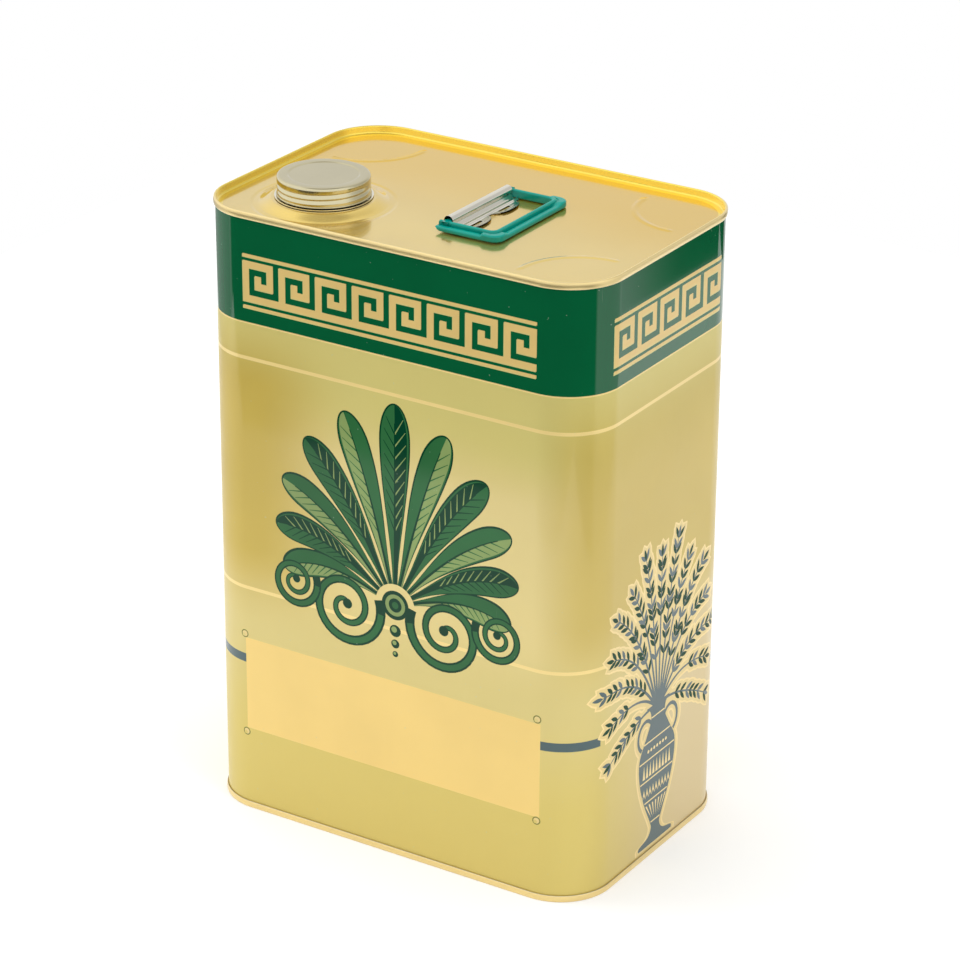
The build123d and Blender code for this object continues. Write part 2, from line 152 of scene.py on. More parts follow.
def bent_side(points: Sequence[Point2], bends: Sequence[float], side: float, arc_steps: int) -> list[Point2]:
    """One side of a bent sheet, whose middle line is given.

    Args:
        points: Corners of the middle line.
        bends: Bend radius of the middle line at each inner corner.
        side: Distance from the middle line, positive to its left.
        arc_steps: Straight steps in each bend.

    Returns:
        Points of that side from the sheet's first edge to its last.
    """
    path = [Vector(point) for point in points]
    first = (path[1] - path[0]).normalized()
    last = (path[-1] - path[-2]).normalized()
    found = [(path[0].x - first.y * side, path[0].y + first.x * side)]
    for before, corner, after, bend in zip(path, path[1:], path[2:], bends):
        found += corner_arc(before, corner, after, bend, arc_steps, side)
    return [*found, (path[-1].x - last.y * side, path[-1].y + last.x * side)]


def left_normals(path: Sequence[Point2]) -> list[Point2]:
    """Unit normals to the left of a plane path, averaged over each point's two runs.

    Args:
        path: Points of an open path.

    Returns:
        One normal for each point.
    """
    found = []
    for before, here, after in zip([path[0], *path], path, [*path[1:], path[-1]]):
        total = Vector((0.0, 0.0))
        for start, end in ((before, here), (here, after)):
            run = Vector(end) - Vector(start)
            if run.length > WELD:
                total += Vector((-run.y, run.x)).normalized()
        total.normalize()
        found.append((total.x, total.y))
    return found


def rounded_loop(corners: Sequence[Point2], radii: Sequence[float], arc_steps: int = 5) -> list[Point2]:
    """Closed outline with its corners rounded.

    Args:
        corners: Corners in order round the outline.
        radii: Radius at each corner.
        arc_steps: Straight steps in each round.

    Returns:
        The same number of points whatever the corners and radii.
    """
    path = [Vector(corner) for corner in corners]
    found = []
    for before, here, after, radius in zip(path[-1:] + path, path, path[1:] + path[:1], radii):
        found += corner_arc(before, here, after, radius, arc_steps)
    return found


def sheet_stations(rows: Sequence[Sequence[Point3]], wrap: bool = False) -> list[list[Station]]:
    """Adds to every point of a sheet its normal, from the runs along and across it.

    Args:
        rows: Lines of points.
        wrap: Whether each line closes on itself.

    Returns:
        The points with normals, in the same lines.
    """
    found = []
    for number, row in enumerate(rows):
        before, after = rows[max(0, number - 1)], rows[min(len(rows) - 1, number + 1)]
        line = []
        for column, point in enumerate(row):
            left = row[column - 1] if wrap or column else point
            right = row[(column + 1) % len(row)] if wrap or column + 1 < len(row) else point
            across = Vector(right) - Vector(left)
            along = Vector(after[column]) - Vector(before[column])
            line.append((tuple(point), tuple(across.cross(along).normalized())))
        found.append(line)
    return found


class Skin:
    """Points, normals and faces of one mesh while it is made, in millimetres."""

    def __init__(self) -> None:
        """Starts an empty mesh."""
        self.points: list[Point3] = []
        self.normals: list[Point3] = []
        self.faces: list[tuple[int, ...]] = []
        self.slots: list[int] = []
        self._known: dict[tuple[int, int, int], int] = {}

    def vertex(self, point: Point3, normal: Point3) -> int:
        """Finds or makes a vertex.

        Args:
            point: Place of the vertex.
            normal: Normal that a new vertex gets.

        Returns:
            Number of the vertex at that place.
        """
        key = tuple(round(value / WELD) for value in point)
        if key not in self._known:
            self._known[key] = len(self.points)
            self.points.append(tuple(point))
            self.normals.append(tuple(normal))
        return self._known[key]

    def face(self, corners: Iterable[int], slot: int = 0) -> None:
        """Adds a face, unless its corners have merged into a line.

        Args:
            corners: Vertex numbers in order round the face.
            slot: Material slot of the face.
        """
        kept = tuple(dict.fromkeys(corners))
        if len(kept) > 2:
            self.faces.append(kept)
            self.slots.append(slot)

    def grid(self, rows: Sequence[Sequence[Station]], wrap: bool = False, slot: int = 0,
             flip: bool = False) -> None:
        """Adds a sheet of quads.

        Args:
            rows: Lines of points with their normals, all with the same count.
            wrap: Whether the last row joins the first.
            slot: Material slot of the faces.
            flip: Whether the faces look the other way.
        """
        numbers = [[self.vertex(*station) for station in row] for row in rows]
        if wrap:
            numbers.append(numbers[0])
        for row, after in zip(numbers, numbers[1:]):
            for column in range(len(row) - 1):
                quad = (row[column], row[column + 1], after[column + 1], after[column])
                self.face(reversed(quad) if flip else quad, slot)

    def plate(self, rows: Sequence[Sequence[Point3]], thickness: float,
              kept: Callable[[int, int], bool]) -> None:
        """Adds a thin plate round a middle sheet, with walls along its edges and round its openings.

        Args:
            rows: Lines of points of the middle sheet.
            thickness: Thickness of the plate.
            kept: Tells whether the cell at a row and column is there.
        """
        stations = sheet_stations(rows)
        moved = [[[(tuple(Vector(point) + Vector(normal) * thickness * side),
                    tuple(Vector(normal) * side * 2)) for point, normal in row]
                  for row in stations] for side in (0.5, -0.5)]
        cells = {(row, column) for row in range(len(rows) - 1) for column in range(len(rows[0]) - 1)
                 if kept(row, column)}
        for side, flip in zip(moved, (False, True)):
            for row, column in cells:
                block = [line[column:column + 2] for line in side[row:row + 2]]
                self.grid(block, flip=flip)
        for row, column in cells:
            ring = [(row, column), (row, column + 1), (row + 1, column + 1), (row + 1, column)]
            beyond = [(row - 1, column), (row, column + 1), (row + 1, column), (row, column - 1)]
            middle = sum((Vector(rows[r][c]) for r, c in ring), Vector((0, 0, 0))) / 4
            for start, end, neighbour in zip(ring, ring[1:] + ring[:1], beyond):
                if neighbour in cells:
                    continue
                half = (Vector(rows[start[0]][start[1]]) + Vector(rows[end[0]][end[1]])) / 2
                out = (half - middle).normalized()
                wall = [[(tuple(Vector(side[r][c][0]) + out * EDGE_SPLIT), tuple(out)) for side in moved]
                        for r, c in (start, end)]
                self.grid(wall, flip=True)

    def build(self, name: str, materials: Sequence[Material]) -> SceneObject:
        """Makes the object in metres, with the normals as they were given.

        Args:
            name: Name of the object and its mesh.
            materials: Finishes in the order of the slots.

        Returns:
            The new object, linked to the scene.
        """
        mesh = bpy.data.meshes.new(name)
        mesh.from_pydata([Vector(point) * MM for point in self.points], [], self.faces)
        for material in materials:
            mesh.materials.append(material)
        mesh.polygons.foreach_set("material_index", self.slots)
        mesh.shade_smooth()
        mesh.normals_split_custom_set_from_vertices(self.normals)
        built = bpy.data.objects.new(name, mesh)
        bpy.context.scene.collection.objects.link(built)
        return built


@dataclass(frozen=True)
class TinOutline:
    """Rounded rectangle of the body wall in plan, measured from the middle of the front face to the right."""

    half_width: float
    half_depth: float
    corner: float = 22.3
    corner_steps: int = 20

    @property
    def front_half(self) -> float:
        """Half the straight part of the front face."""
        return self.half_width - self.corner

    @property
    def side_half(self) -> float:
        """Half the straight part of a side face."""
        return self.half_depth - self.corner

    @property
    def arc(self) -> float:
        """Length of one rounded corner."""
        return self.corner * math.pi / 2

    @property
    def side_middle(self) -> float:
        """Way from the middle of the front to the middle of the right side."""
        return self.front_half + self.arc + self.side_half

    @property
    def back_middle(self) -> float:
        """Way from the middle of the front to the middle of the back."""
        return self.side_middle + self.side_half + self.arc + self.front_half

    def place(self, way: float, offset: float = 0.0) -> tuple[Point2, Point2]:
        """Point and outward normal at a way along the wall.

        Args:
            way: Distance from the middle of the front, positive to the right.
            offset: Distance outside the wall.

        Returns:
            The point in plan and the unit normal there.
        """
        near = min(abs(way), self.back_middle)
        hand, depth = math.copysign(1, way), 1
        if near > self.side_middle:
            near, depth = self.side_middle * 2 - near, -1
        if near <= self.front_half:
            x, y, out_x, out_y = near, -self.half_depth, 0.0, -1.0
        elif near < self.front_half + self.arc:
            turn = (near - self.front_half) / self.corner
            out_x, out_y = math.sin(turn), -math.cos(turn)
            x, y = self.front_half + self.corner * out_x, -self.side_half + self.corner * out_y
        else:
            x, y, out_x, out_y = self.half_width, near - self.side_middle, 1.0, 0.0
        point = (x + out_x * offset) * hand, (y + out_y * offset) * depth
        return point, (out_x * hand, out_y * depth)

    def ring_ways(self) -> list[float]:
        """Ways of one closed ring, from the middle of the back round the front, without its last point."""
        found = [-self.back_middle, -self.side_middle, 0.0, self.side_middle]
        for hand in (-1, 1):
            for start in (self.front_half, self.side_middle + self.side_half):
                found += [hand * way for way in steps(start, start + self.arc, self.corner_steps)]
        return sorted(found)

    def sweep(self, profile: Sequence[Point2], normals: Sequence[Point2]) -> list[list[Station]]:
        """Rows of points that carry a profile round the tin.

        Args:
            profile: Points as distance outside the wall and height.
            normals: Normals of the profile in the same two directions.

        Returns:
            One row of the profile for each way of the ring.
        """
        rows = []
        for way in self.ring_ways():
            row = []
            for (offset, height), (out, rise) in zip(profile, normals):
                point, normal = self.place(way, offset)
                row.append(((*point, height), (normal[0] * out, normal[1] * out, rise)))
            rows.append(row)
        return rows


class Noise(NamedTuple):
    """Kind of noise: waves for each metre, levels of detail and stretch along the axes."""

    scale: float
    detail: float = 2.0
    stretch: Point3 = (1.0, 1.0, 1.0)


class Graph:
    """Node tree of one material or world, with short ways to add and join nodes."""

    def __init__(self, owner: bpy.types.ID) -> None:
        """Clears the owner's nodes."""
        owner.use_nodes = True
        self.tree = owner.node_tree
        self.tree.nodes.clear()

    def node(self, kind: str, settings: Optional[dict] = None, **sockets: object) -> bpy.types.Node:
        """Adds a node.

        Args:
            kind: Blender's name of the node.
            settings: Properties of the node itself.
            **sockets: Input sockets by name with underscores, as values or as outputs to join.

        Returns:
            The new node.
        """
        made = self.tree.nodes.new(kind)
        for key, value in (settings or {}).items():
            setattr(made, key, value)
        for key, value in sockets.items():
            self._set(made.inputs[key.replace("_", " ")], value)
        return made

    def _set(self, socket: Socket, value: object) -> None:
        """Joins an output to a socket, or sets the socket to a plain value."""
        if isinstance(value, Socket):
            self.tree.links.new(value, socket)
        else:
            socket.default_value = value

    def place(self, stretch: Point3 = (1.0, 1.0, 1.0)) -> Socket:
        """Place on the object in metres, stretched along its axes."""
        coordinates = self.node("ShaderNodeTexCoord")
        mapping = self.node("ShaderNodeMapping", Vector=coordinates.outputs["Object"], Scale=stretch)
        return mapping.outputs["Vector"]

    def noise(self, kind: Noise) -> Socket:
        """Noise from 0 to 1."""
        made = self.node("ShaderNodeTexNoise", Vector=self.place(kind.stretch), Scale=kind.scale,
                         Detail=kind.detail)
        return made.outputs["Fac"]

    def spread(self, value: Socket, span: Point2, low: float, high: float) -> Socket:
        """Maps a span of a value onto low to high in a straight line."""
        made = self.node("ShaderNodeMapRange", Value=value, From_Min=span[0], From_Max=span[1], To_Min=low,
                         To_Max=high)
        return made.outputs["Result"]

    def ease(self, value: Socket, span: Point2, low: float = 0.0, high: float = 1.0) -> Socket:
        """Maps a span of a value onto low to high, level at both ends."""
        made = self.node("ShaderNodeMapRange", {"interpolation_type": "SMOOTHSTEP"}, Value=value,
                         From_Min=span[0], From_Max=span[1], To_Min=low, To_Max=high)
        return made.outputs["Result"]

    def along(self, value: Socket, span: Point2, low: float = 0.0, high: float = 1.0) -> Socket:
        """Eases over a span in millimetres of a place in metres."""
        return self.ease(value, (span[0] * MM, span[1] * MM), low, high)

    def math(self, operation: str, *values: float | Socket) -> Socket:
        """Joins a math node to its values, which are numbers or outputs."""
        made = self.node("ShaderNodeMath", {"operation": operation})
        for socket, value in zip(made.inputs, values):
            self._set(socket, value)
        return made.outputs["Value"]

    def sum(self, first: Socket, second: Socket, share: float) -> Socket:
        """First value plus a share of the second."""
        return self.math("MULTIPLY_ADD", second, share, first)

    def product(self, first: Socket, *others: float | Socket) -> Socket:
        """First value times all the others."""
        for other in others:
            first = self.math("MULTIPLY", first, other)
        return first

    def ramp(self, value: Socket, *stops: tuple[float, Colour]) -> Socket:
        """Colours along a value, blended softly between their stops.

        Args:
            value: Value from 0 to 1.
            *stops: Values with the colours that belong to them, in rising order.

        Returns:
            The colour at the value.
        """
        made = self.node("ShaderNodeValToRGB", Fac=value)
        ramp = made.color_ramp
        ramp.interpolation = "EASE"
        while len(ramp.elements) < len(stops):
            ramp.elements.new(1.0)
        for element, (share, colour) in zip(ramp.elements, stops):
            element.position = share
            element.color = (*colour, 1.0)
        return made.outputs["Color"]

    def clouded(self, cloud: Socket, span: Point2, colour: Colour, shades: Point2) -> Socket:
        """Colour in a darker and a lighter shade at the two ends of a noise's span."""
        return self.ramp(cloud, (span[0], tint(colour, shades[0])), (span[1], tint(colour, shades[1])))

    def mix(self, share: Socket, first: Socket, second: Socket | Colour) -> Socket:
        """Blends two colours.

        Args:
            share: Share of the second colour.
            first: First colour.
            second: Second colour, fixed or an output.

        Returns:
            The blended colour.
        """
        made = self.node("ShaderNodeMix", {"data_type": "RGBA"}, Factor=share)
        before, after = (socket for socket in made.inputs if socket.type == "RGBA")
        self._set(before, first)
        self._set(after, second if isinstance(second, Socket) else (*second, 1.0))
        return next(output for output in made.outputs if output.type == "RGBA")

    def bump(self, height: Socket, distance: float) -> Socket:
        """Normal bent by a height, where distance is the height in metres of a full step."""
        made = self.node("ShaderNodeBump", Height=height, Distance=distance, Strength=1.0)
        return made.outputs["Normal"]

    def finish(self, shader: bpy.types.Node) -> None:
        """Joins a shader to the material's surface."""
        self.node("ShaderNodeOutputMaterial", Surface=shader.outputs[0])


def tint(colour: Colour, factor: float) -> Colour:
    """Colour made lighter or darker by a factor."""
    return tuple(min(1.0, value * factor) for value in colour)


def srgb(red: int, green: int, blue: int) -> Colour:
    """Linear colour from display values.

    Args:
        red: Red from 0 to 255.
        green: Green from 0 to 255.
        blue: Blue from 0 to 255.

    Returns:
        The colour as shaders take it.
    """
    found = []
    for value in (red, green, blue):
        share = value / 255
        found.append(share / 12.92 if share <= 0.04045 else ((share + 0.055) / 1.055) ** 2.4)
    return tuple(found)


@dataclass(frozen=True)
class Lacquer:
    """Tinplate under ink and clear varnish: soft metal below, a sharper gloss on top."""

    name: str
    colour: Colour
    metallic: float = 0.6
    roughness: float = 0.42
    roughness_spread: Point2 = (-0.04, 0.05)
    coat: float = 0.5
    coat_roughness: float = 0.08
    coat_index: float = 1.62
    specular: float = 0.2
    mottle: float = 0.03
    clouds: Noise = Noise(22.0, 3.0)
    cloud_span: Point2 = (0.3, 0.7)
    smudges: Noise = Noise(60.0, 4.0)
    smudge_span: Point2 = (0.4, 1.0)
    smudge_grain: float = 0.35
    wave: float = 0.00012
    waves: Noise = Noise(17.0, 1.0)
    grain: Noise = Noise(900.0, 2.0, (1.0, 1.0, 0.08))
    grain_rise: float = 0.012
    worn: Colour = (0.5, 0.62, 0.5)
    wear: float = 0.25
    specks: Noise = Noise(640.0, 1.0)
    speck_span: Point2 = (0.77, 0.83)
    scratches: Noise = Noise(1300.0, 1.0, (1.0, 1.0, 0.035))
    scratch_span: Point2 = (0.78, 0.84)
    scuffs: Noise = Noise(38.0, 2.0)
    scuff_span: Point2 = (0.5, 0.62)

    def _colour(self, graph: Graph, cloud: Socket) -> Socket:
        """Colour, a little lighter and darker in clouds."""
        return graph.clouded(cloud, self.cloud_span, self.colour, (1 - self.mottle, 1 + self.mottle))

    def _worn(self, graph: Graph, colour: Socket) -> Socket:
        """Colour with a few rubbed specks, and upright hairline scratches where it was scuffed."""
        specks = graph.ease(graph.noise(self.specks), self.speck_span, 0.0, self.wear)
        scratches = graph.ease(graph.noise(self.scratches), self.scratch_span, 0.0, self.wear)
        scuffs = graph.ease(graph.noise(self.scuffs), self.scuff_span)
        return graph.mix(graph.math("MAXIMUM", specks, graph.product(scratches, scuffs)), colour, self.worn)

    def material(self) -> Material:
        """Makes the material.

        Returns:
            A material with mottled colour, uneven gloss, rolling grain and a slight wave.
        """
        made = bpy.data.materials.new(self.name)
        graph = Graph(made)
        grain = graph.noise(self.grain)
        smudges = graph.sum(graph.noise(self.smudges), grain, self.smudge_grain)
        low, high = (self.roughness + change for change in self.roughness_spread)
        relief = graph.sum(graph.noise(self.waves), grain, self.grain_rise)
        colour = self._worn(graph, self._colour(graph, graph.noise(self.clouds)))
        graph.finish(graph.node(
            "ShaderNodeBsdfPrincipled", Base_Color=colour, Metallic=self.metallic,
            Roughness=graph.spread(smudges, self.smudge_span, low, high), Specular_IOR_Level=self.specular,
            Coat_Weight=self.coat, Coat_Roughness=self.coat_roughness, Coat_IOR=self.coat_index,
            Normal=graph.bump(relief, self.wave)))
        return made


@dataclass(frozen=True)
class WashedLacquerWithPaintedShade(Lacquer):
    """Lacquer over a printed ground that changes softly up the tin, with painted shade to the left and on the
    sides and a painted pale reflection low on the sides.
    """

    heights: tuple[float, ...] = ()
    colours: tuple[Colour, ...] = ()
    # The fields from here place a painted shade of the base colour to the left and on the sides, and a
    # painted pale reflection low on the side faces
    shade_low: Point2 = (82.0, 120.0)
    shade_high: Point2 = (186.0, 222.0)
    shade_left: Point2 = (-62.0, -12.0)
    side: Point2 = (66.0, 86.0)
    side_shade: float = 0.72
    painted_side_haze: Colour = (1.0, 1.0, 1.0)
    painted_side_haze_share: float = 0.9
    painted_side_haze_reach: Point2 = (-54.0, 26.0)

    def _colour(self, graph: Graph, cloud: Socket) -> Socket:
        """Printed colours up the tin, drawn towards a painted shade to the left and on the sides and towards
        a painted pale reflection low on the sides, in soft clouds.
        """
        split = graph.node("ShaderNodeSeparateXYZ", Vector=graph.place())
        across, level = split.outputs["X"], split.outputs["Z"]
        low, high = self.heights[0], self.heights[-1]
        stops = [(height - low) / (high - low) for height in self.heights]
        ground = graph.ramp(graph.spread(level, (low * MM, high * MM), 0.0, 1.0), *zip(stops, self.colours))
        left = graph.along(across, self.shade_left, 1.0, 0.0)
        side = graph.along(across, self.side)
        belt = graph.product(graph.along(level, self.shade_low),
                             graph.along(level, self.shade_high, 1.0, 0.0))
        # Painted shade: the base colour laid over the printed ground to the left and on the sides
        share = graph.product(graph.math("MAXIMUM", left, graph.product(side, self.side_shade)), belt)
        share = graph.sum(share, cloud, self.mottle)
        shaded = graph.mix(share, ground, super()._colour(graph, cloud))
        # Painted reflection: a pale haze low on the side faces
        foot = graph.along(level, self.shade_low, self.painted_side_haze_share, 0.0)
        reach = graph.along(split.outputs["Y"], self.painted_side_haze_reach)
        return graph.mix(graph.product(side, reach, foot), shaded, self.painted_side_haze)


@dataclass(frozen=True)
class BareTin:
    """Bright or lacquered tinplate without print, with fine rolling lines."""

    name: str
    colour: Colour
    metallic: float = 1.0
    roughness: float = 0.26
    roughness_spread: Point2 = (-0.02, 0.03)
    coat: float = 0.0
    coat_roughness: float = 0.12
    clouds: Noise = Noise(26.0, 3.0)
    cloud_span: Point2 = (0.4, 0.72)
    cloud_grain: float = 0.12
    shades: Point2 = (0.96, 1.02)
    gloss_span: Point2 = (0.5, 0.9)
    gloss_grain: float = 0.4
    wave: float = 0.00005
    waves: Noise = Noise(22.0, 1.0)
    lines: Noise = Noise(900.0, 2.0, (1.0, 8.0, 1.0))
    line_rise: float = 0.004

    def _colour(self, graph: Graph, cloud: Socket) -> Socket:
        """Colour, a little darker in clouds."""
        return graph.clouded(cloud, self.cloud_span, self.colour, self.shades)

    def material(self) -> Material:
        """Makes the material.

        Returns:
            A metal with stretched grain in its gloss and a slight wave.
        """
        made = bpy.data.materials.new(self.name)
        graph = Graph(made)
        lines, cloud = graph.noise(self.lines), graph.noise(self.clouds)
        low, high = (self.roughness + change for change in self.roughness_spread)
        rough = graph.spread(graph.sum(cloud, lines, self.gloss_grain), self.gloss_span, low, high)
        relief = graph.sum(graph.noise(self.waves), lines, self.line_rise)
        colour = self._colour(graph, graph.sum(cloud, lines, self.cloud_grain))
        graph.finish(graph.node(
            "ShaderNodeBsdfPrincipled", Base_Color=colour, Metallic=self.metallic, Roughness=rough,
            Coat_Weight=self.coat, Coat_Roughness=self.coat_roughness, Normal=graph.bump(relief, self.wave)))
        return made


@dataclass(frozen=True)
class BackShadedTin(BareTin):
    """Lacquered tinplate whose gold is painted into a deeper shade towards the back."""

    # Painted shade: the deeper colour and the span towards the back where it lies
    deep: Colour = (1.0, 1.0, 1.0)
    painted_shade_span: Point2 = (-12.0, 48.0)
    shade_edge: Noise = Noise(9.0, 2.0)
    shade_edge_sway: float = 0.03

    def _colour(self, graph: Graph, cloud: Socket) -> Socket:
        """Plain colour at the front and a painted deeper shade at the back, with a cloudy edge between them.
        """
        split = graph.node("ShaderNodeSeparateXYZ", Vector=graph.place())
        back = graph.sum(split.outputs["Y"], graph.noise(self.shade_edge), self.shade_edge_sway)
        return graph.mix(graph.along(back, self.painted_shade_span), super()._colour(graph, cloud), self.deep)


@dataclass(frozen=True)
class Moulded:
    """Moulded plastic, rubber or foam with a fine skin."""

    name: str
    colour: Colour
    roughness: float
    skin: Noise
    depth: float
    subsurface: float = 0.0
    subsurface_reach: float = 0.002
    coat: float = 0.0
    coat_roughness: float = 0.05
    specular: float = 0.5
    flow: Noise = Noise(70.0, 3.0, (1.0, 0.35, 1.0))
    flow_span: Point2 = (0.3, 0.72)
    shades: Point2 = (0.9, 1.08)
    skin_share: float = 0.5
    gloss_span: Point2 = (0.5, 1.0)
    roughness_spread: Point2 = (-0.06, 0.08)

    def material(self) -> Material:
        """Makes the material.

        Returns:
            A soft-coloured surface with flow marks, grain and uneven gloss.
        """
        made = bpy.data.materials.new(self.name)
        graph = Graph(made)
        flow = graph.noise(self.flow)
        relief = graph.sum(flow, graph.noise(self.skin), self.skin_share)
        low, high = (self.roughness + change for change in self.roughness_spread)
        colour = graph.clouded(flow, self.flow_span, self.colour, self.shades)
        graph.finish(graph.node(
            "ShaderNodeBsdfPrincipled", Base_Color=colour, Specular_IOR_Level=self.specular,
            Roughness=graph.spread(relief, self.gloss_span, low, high),
            Coat_Weight=self.coat, Coat_Roughness=self.coat_roughness, Subsurface_Weight=self.subsurface,
            Subsurface_Scale=self.subsurface_reach, Normal=graph.bump(relief, self.depth)))
        return made


@dataclass(frozen=True)
class Frieze:
    """Key pattern along one straight stretch of the band, between two thin lines."""

    start: float
    end: float
    low: float
    high: float
    key: tuple[Point2, ...] = ((0, 0), (6, 0), (6, 1), (1, 1), (1, 5), (4, 5), (4, 3), (3, 3), (3, 4), (2, 4),
                               (2, 2), (5, 2), (5, 6), (0, 6))
    key_cells: int = 6
    line_share: float = 0.45
    line_gap_share: float = 0.55
    edge_shift: float = 0.32

    @property
    def cell(self) -> float:
        """Width of the key's strokes and of the gaps between them."""
        lines = 2 * (self.line_share + self.line_gap_share)
        return (self.high - self.low) / (self.key_cells + lines)

    def shapes(self) -> Iterator[Shape]:
        """Edge tone first, and the face of every stroke over it."""
        count = round((self.end - self.start) / self.cell / self.key_cells)
        pitch = (self.end - self.start + self.cell) / count
        wide = pitch / self.key_cells
        base = self.low + (self.line_share + self.line_gap_share) * self.cell
        for ink, shift in ((Ink.FRIEZE_EDGE, -self.edge_shift), (Ink.FRIEZE, 0.0)):
            for number in range(count):
                reach = self.key_cells - (number == count - 1)
                left = self.start + pitch * number + shift
                yield ink, [(left + min(x, reach) * wide, base + shift + y * self.cell) for x, y in self.key]
            for low in (self.low, self.high - self.line_share * self.cell):
                high = low + self.line_share * self.cell
                yield ink, box_points(self.start + shift, self.end + shift, low + shift, high + shift)


def box_points(left: float, right: float, low: float, high: float) -> list[Point2]:
    """Corners of an upright rectangle, counter-clockwise."""
    return [(left, low), (right, low), (right, high), (left, high)]


def curve_value(before: float, start: float, end: float, after: float, share: float) -> float:
    """Value at a share of the way between the middle two of four numbers, on a smooth curve through all."""
    return (start + (end - before) * share * 0.5
            + (before - 2.5 * start + 2 * end - 0.5 * after) * share ** 2
            + (1.5 * (start - end) + 0.5 * (after - before)) * share ** 3)


def winds_round(outline: Sequence[Point2], x: float, y: float) -> bool:
    """Tells whether an outline winds round a place, however often it crosses itself.

    Args:
        outline: Corners of the outline.
        x: Way of the place.
        y: Height of the place.

    Returns:
        Whether the place is inside.
    """
    turns = 0
    start_x, start_y = outline[-1]
    for end_x, end_y in outline:
        if (start_y > y) != (end_y > y):
            share = (y - start_y) / (end_y - start_y)
            if between(start_x, end_x, share) > x:
                turns += 1 if end_y > start_y else -1
        start_x, start_y = end_x, end_y
    return turns != 0


class PrintMap:
    """Printed shapes sorted into square cells, to find the one on top at a place."""

    cell = 6.0

    def __init__(self, shapes: Sequence[Shape]) -> None:
        """Sorts the shapes by the cells that they may touch.

        Args:
            shapes: Printed shapes in the order of the press.
        """
        self._cells: dict[tuple[int, int], list[Shape]] = {}
        for shape in shapes:
            columns, rows = ([math.floor(place / self.cell) for place in axis] for axis in zip(*shape[1]))
            for column in range(min(columns), max(columns) + 1):
                for row in range(min(rows), max(rows) + 1):
                    self._cells.setdefault((column, row), []).append(shape)

    def ink(self, x: float, y: float) -> Ink:
        """Ink that was printed last at a place.

        Args:
            x: Way of the place.
            y: Height of the place.

        Returns:
            That ink, or the field's where nothing was printed.
        """
        cell = (math.floor(x / self.cell), math.floor(y / self.cell))
        for ink, outline in reversed(self._cells.get(cell, [])):
            if winds_round(outline, x, y):
                return ink
        return Ink.FIELD


def round_points(centre: Point2, radius: float, sides: int = 24) -> list[Point2]:
    """Corners of a regular polygon that stands for a circle."""
    turns = [2 * math.pi * number / sides for number in range(sides)]
    return [(centre[0] + radius * math.cos(turn), centre[1] + radius * math.sin(turn)) for turn in turns]


def ribbon(spine: Sequence[Point2], halves: Sequence[float], sides: Point2 = (1.0, 1.0)) -> list[Point2]:
    """Outline of a stroke of changing width.

    Args:
        spine: Middle line of the stroke.
        halves: Half width at each point.
        sides: Shares of the half width to the left and to the right of the spine.

    Returns:
        Points up the right side and back down the left.
    """
    normals = left_normals(spine)
    left = []
    right = []
    for point, normal, half in zip(spine, normals, halves):
        left.append((point[0] + normal[0] * half * sides[0], point[1] + normal[1] * half * sides[0]))
        right.append((point[0] - normal[0] * half * sides[1], point[1] - normal[1] * half * sides[1]))
    return right + left[::-1]


@dataclass(frozen=True)
class Scroll:
    """Coil of the palmette: place of its middle beside and under the hub, radius and half width."""

    reach: float
    drop: float
    radius: float
    half: float


